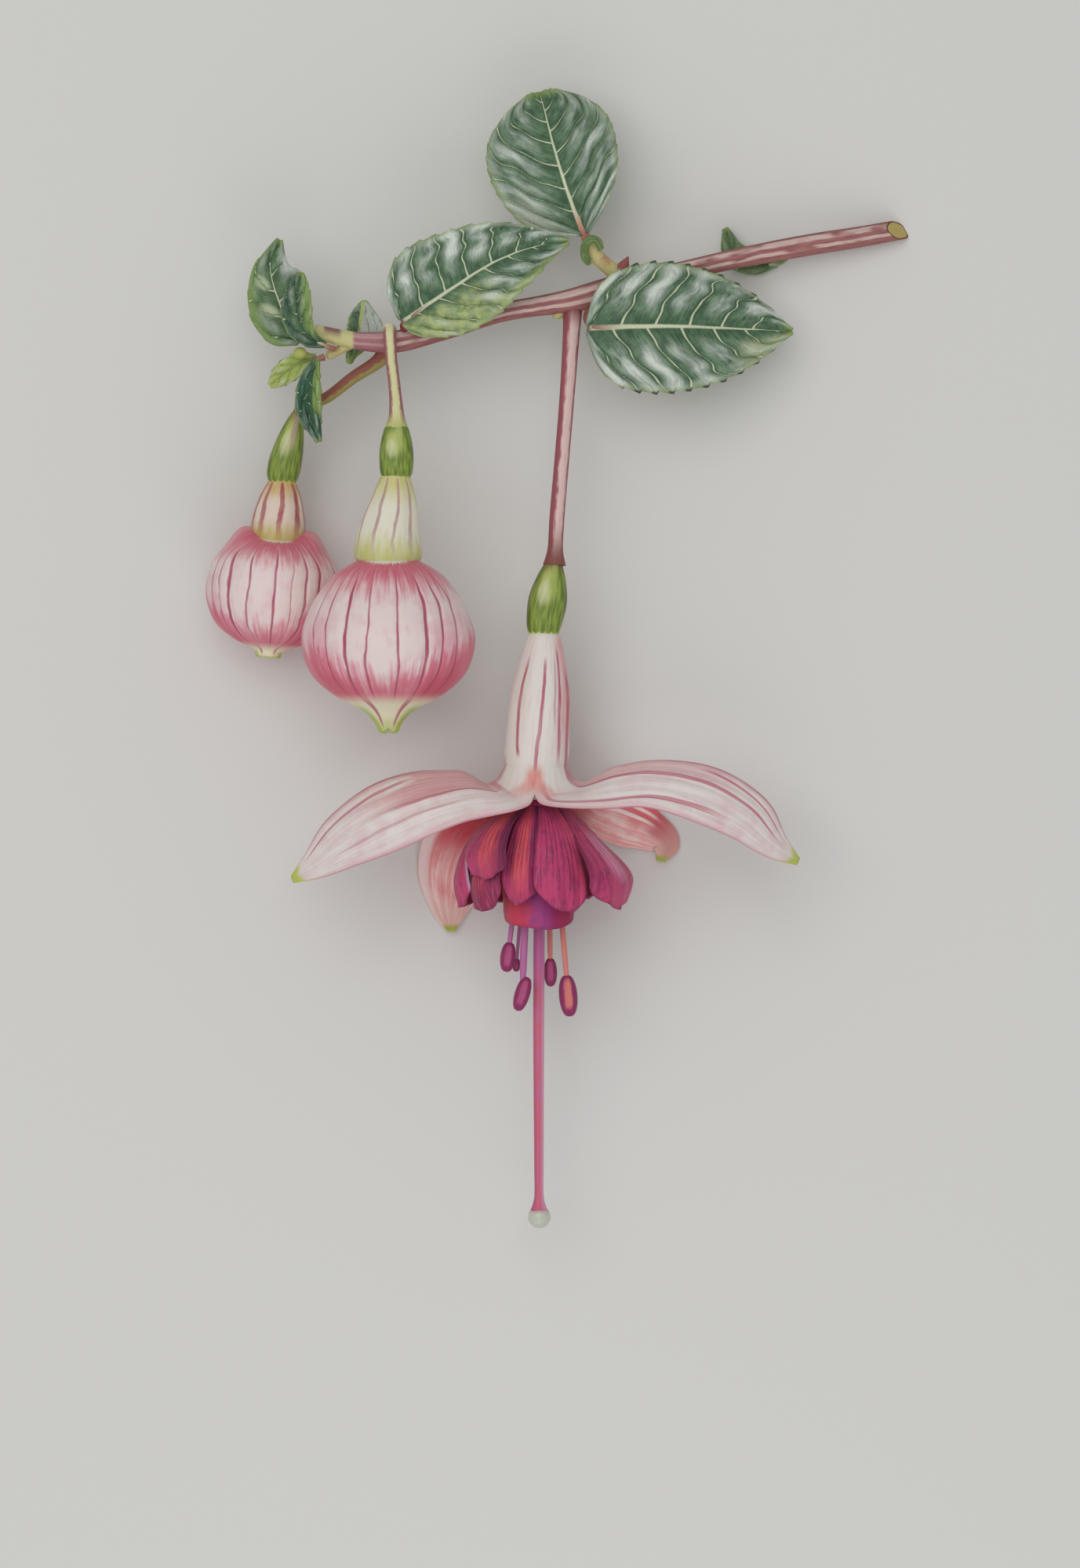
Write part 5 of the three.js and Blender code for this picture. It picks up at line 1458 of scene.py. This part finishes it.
# Stamens by the middle of each anther, its half length and half width, and for some the filament's radius and
# the way that the anther points. The last three are still inside the corolla.
STAMENS = [
    ([-7.6, -45.6, 16.6], 2.3, 1.15),
    ([-5.4, -51.2, 17.6], 2.7, 1.15, 0.6, [-0.3, -1, 0]),
    ([-1.1, -48, 13.4], 2.2, 1),
    ([1.6, -51.5, 16.8], 3.2, 1.4),
    ([-6.3, -46.9, 13.2], 1.0, 0.6, 0.3),
    ([-4.4, -36.5, 12.6], 1.8, 0.8),
    ([-1.2, -35, 18], 1.8, 0.8),
    ([-4.6, -34.5, 18.2], 1.8, 0.8),
]
HUB_RADIUS = 2


def stamen(anther, long, wide, thick=0.45, along=None):
    """A filament and the two-lobed anther at its end."""
    anther = np.array(anther, float)
    turn = np.arctan2(anther[2] - FLOWER_HEIGHT, anther[0] - MOUTH[0])
    root = round_axis(turn, HUB_RADIUS, 0.8)
    bend = root + (anther - root) * 0.55
    taper = through([[0, thick], [0.85, thick * 0.9], [1, 0.25]])
    filament = bar([root, bend, anther], taper, sides=16, anther=0.0)
    along = unit(np.array(along or anther - bend, float))
    ends = [anther - along * long, anther, anther + along * long]

    def lobed(angle, t):
        return 1 - 0.28 * np.cos(angle - np.pi / 2) ** 16

    def radius(t):
        return wide * np.sqrt(np.maximum(1 - (2 * t - 1) ** 2, 0)) ** 0.8 + 0.02

    return [filament, bar(ends, radius, sides=32, steps=40, relief=lobed, anther=1.0)]


def stamen_look():
    look = Look("stamens", sheen_weight=0.1, specular_ior_level=0.4)
    cloud, fine = look.noise(1.2, 2), look.noise(0.12, 2)
    filament = look.mix((192, 110, 164), (226, 136, 124), step(look.x, -3.5, -1.0))
    groove = step(abs(look.u - 0.25 + (cloud - 0.5) * 0.06), 0.1, 0.04) * step(abs(look.t - 0.45), 0.42, 0.25)
    pollen = look.mix((146, 38, 94), (188, 84, 132), groove * 0.9)
    pollen = look.mix(pollen, (224, 130, 112), groove * step(look.x, 0.6, 1.4) * 0.9)
    look.colour = look.mix(filament, pollen, look.field("anther"))
    return look.finish(0.5, fine, 0.08)


stamen_shells = [shell for spec in STAMENS for shell in stamen(*spec)]
piece("stamens", [*stamen_shells, ring(1.35, 2.6, 1.8)], stamen_look(), "stamen", "stamens")


def style_look():
    look = Look("style", sheen_weight=0.1)
    fine = look.noise(0.4, 3)
    side = (look.u * (2 * np.pi)).math("COSINE")
    brush = look.strokes(look.t * 30, look.u * 6)
    look.colour = look.mix((200, 100, 138), (206, 96, 116), step(brush, 0.4, 0.6))
    # Painted highlight: a pale lilac band down its right side.
    look.paint((222, 158, 186), step(side, -0.2, -0.8) * 0.8)
    look.paint((184, 76, 120), step(side, 0.3, 0.9) * 0.6)
    look.paint((180, 92, 156), step(look.t, 0.5, 0.38) * 0.7)
    return look.finish(fine * 0.1 + 0.42, fine, 0.05)


STYLE = [[-2.8, -21.6, 15.5], [-2.8, -34, 15.5], [-2.9, -56, 15], [-2.85, -84.3, 13.55]]
STYLE_RADIUS = [[0, 0.85], [0.5, 0.85], [0.9, 0.72], [0.965, 0.72], [0.985, 0.95], [1, 1.3]]
piece("style", [bar(STYLE, through(STYLE_RADIUS), sides=24, steps=160)], style_look(), "style", "style")


def knob(middle, width, length, lobes=0.0):
    """A rounded body about an axis along Y, with four lobes."""
    middle = np.array(middle, float)
    ends = [middle + [0, length, 0], middle, middle - [0, length, 0]]

    def radius(t):
        return width * np.sqrt(np.maximum(1 - (2 * t - 1) ** 2, 0)) + 0.01

    return bar(ends, radius, sides=48, steps=32, relief=lambda angle, t: 1 + lobes * (np.cos(4 * angle) - 1))


def leaf_bud_look():
    look = Look("leaf_bud")
    mottle = look.noise(0.8)
    look.colour = look.mix((180, 188, 96), (136, 120, 66), step(look.t, 0.2, 0.02) * 0.8 + mottle * 0.2)
    return look.finish(0.5, look.noise(0.3), 0.05)


def stigma_look():
    look = Look("stigma", coat_weight=0.5, coat_roughness=0.15, subsurface_weight=0.3, subsurface_scale=0.001)
    fine = look.noise(0.3, 3)
    look.colour = look.mix((214, 218, 204), (186, 192, 176), fine)
    look.colour = look.mix((214, 140, 164), look.colour, step(look.t, 0.12, 0.36))
    return look.finish(fine * 0.15 + 0.25, fine, 0.08)


piece("stigma", [knob([-2.8, -85.4, 13.5], 1.72, 1.72, lobes=0.02)], stigma_look(), "stigma", "stigma")
piece("leaf_bud", [knob([-39.3, 46.5, 16.65], 1.05, 0.9)], leaf_bud_look(), "young_leaf", "leaf_bud")


# Floor, light and camera.


def floor():
    mesh = bpy.data.meshes.new("floor")
    half = 1.5
    corners = [(-half, -half, 0), (half, -half, 0), (half, half, 0), (-half, half, 0)]
    mesh.from_pydata(corners, [], [(0, 1, 2, 3)])
    plane = bpy.data.objects.new("floor", mesh)
    plane.location.z = -0.02 * MM
    bpy.context.scene.collection.objects.link(plane)
    material = bpy.data.materials.new("floor")
    material.use_nodes = True
    shader = material.node_tree.nodes["Principled BSDF"]
    shader.inputs["Base Color"].default_value = tone(224, 223, 219)
    shader.inputs["Roughness"].default_value = 0.9
    shader.inputs["Specular IOR Level"].default_value = 0.1
    mesh.materials.append(material)


CAMERA_PLACE = (-2.7 * MM, -19.2 * MM, 1.342)
LENS = 199.5


def area_light(name, place, target, size, power, colour):
    light = bpy.data.lights.new(name, "AREA")
    light.size = size
    light.energy = power
    light.color = colour
    lamp = bpy.data.objects.new(name, light)
    bpy.context.scene.collection.objects.link(lamp)
    lamp.location = place
    direction = np.array(target) - np.array(place)
    lamp.rotation_euler = Vector(direction).to_track_quat("-Z", "Y").to_euler()


def set_stage():
    scene = bpy.context.scene
    floor()
    area_light("key", (-0.2, 0.24, 0.86), (0, 0, 0), size=0.8, power=3.0, colour=(1, 1, 0.995))
    area_light("fill", (0.05, -0.5, 0.42), (0, -0.02, 0), size=0.5, power=0.75, colour=(1, 0.995, 0.99))
    world = bpy.data.worlds.new("studio")
    world.use_nodes = True
    background = world.node_tree.nodes["Background"]
    background.inputs["Color"].default_value = (0.97, 0.98, 1.0, 1)
    background.inputs["Strength"].default_value = 0.43
    scene.world = world
    scene.view_settings.view_transform = "Standard"
    camera = bpy.data.objects.new("camera", bpy.data.cameras.new("camera"))
    camera.data.lens = LENS
    camera.data.sensor_width = 36
    camera.location = CAMERA_PLACE
    scene.collection.objects.link(camera)
    scene.camera = camera


set_stage()
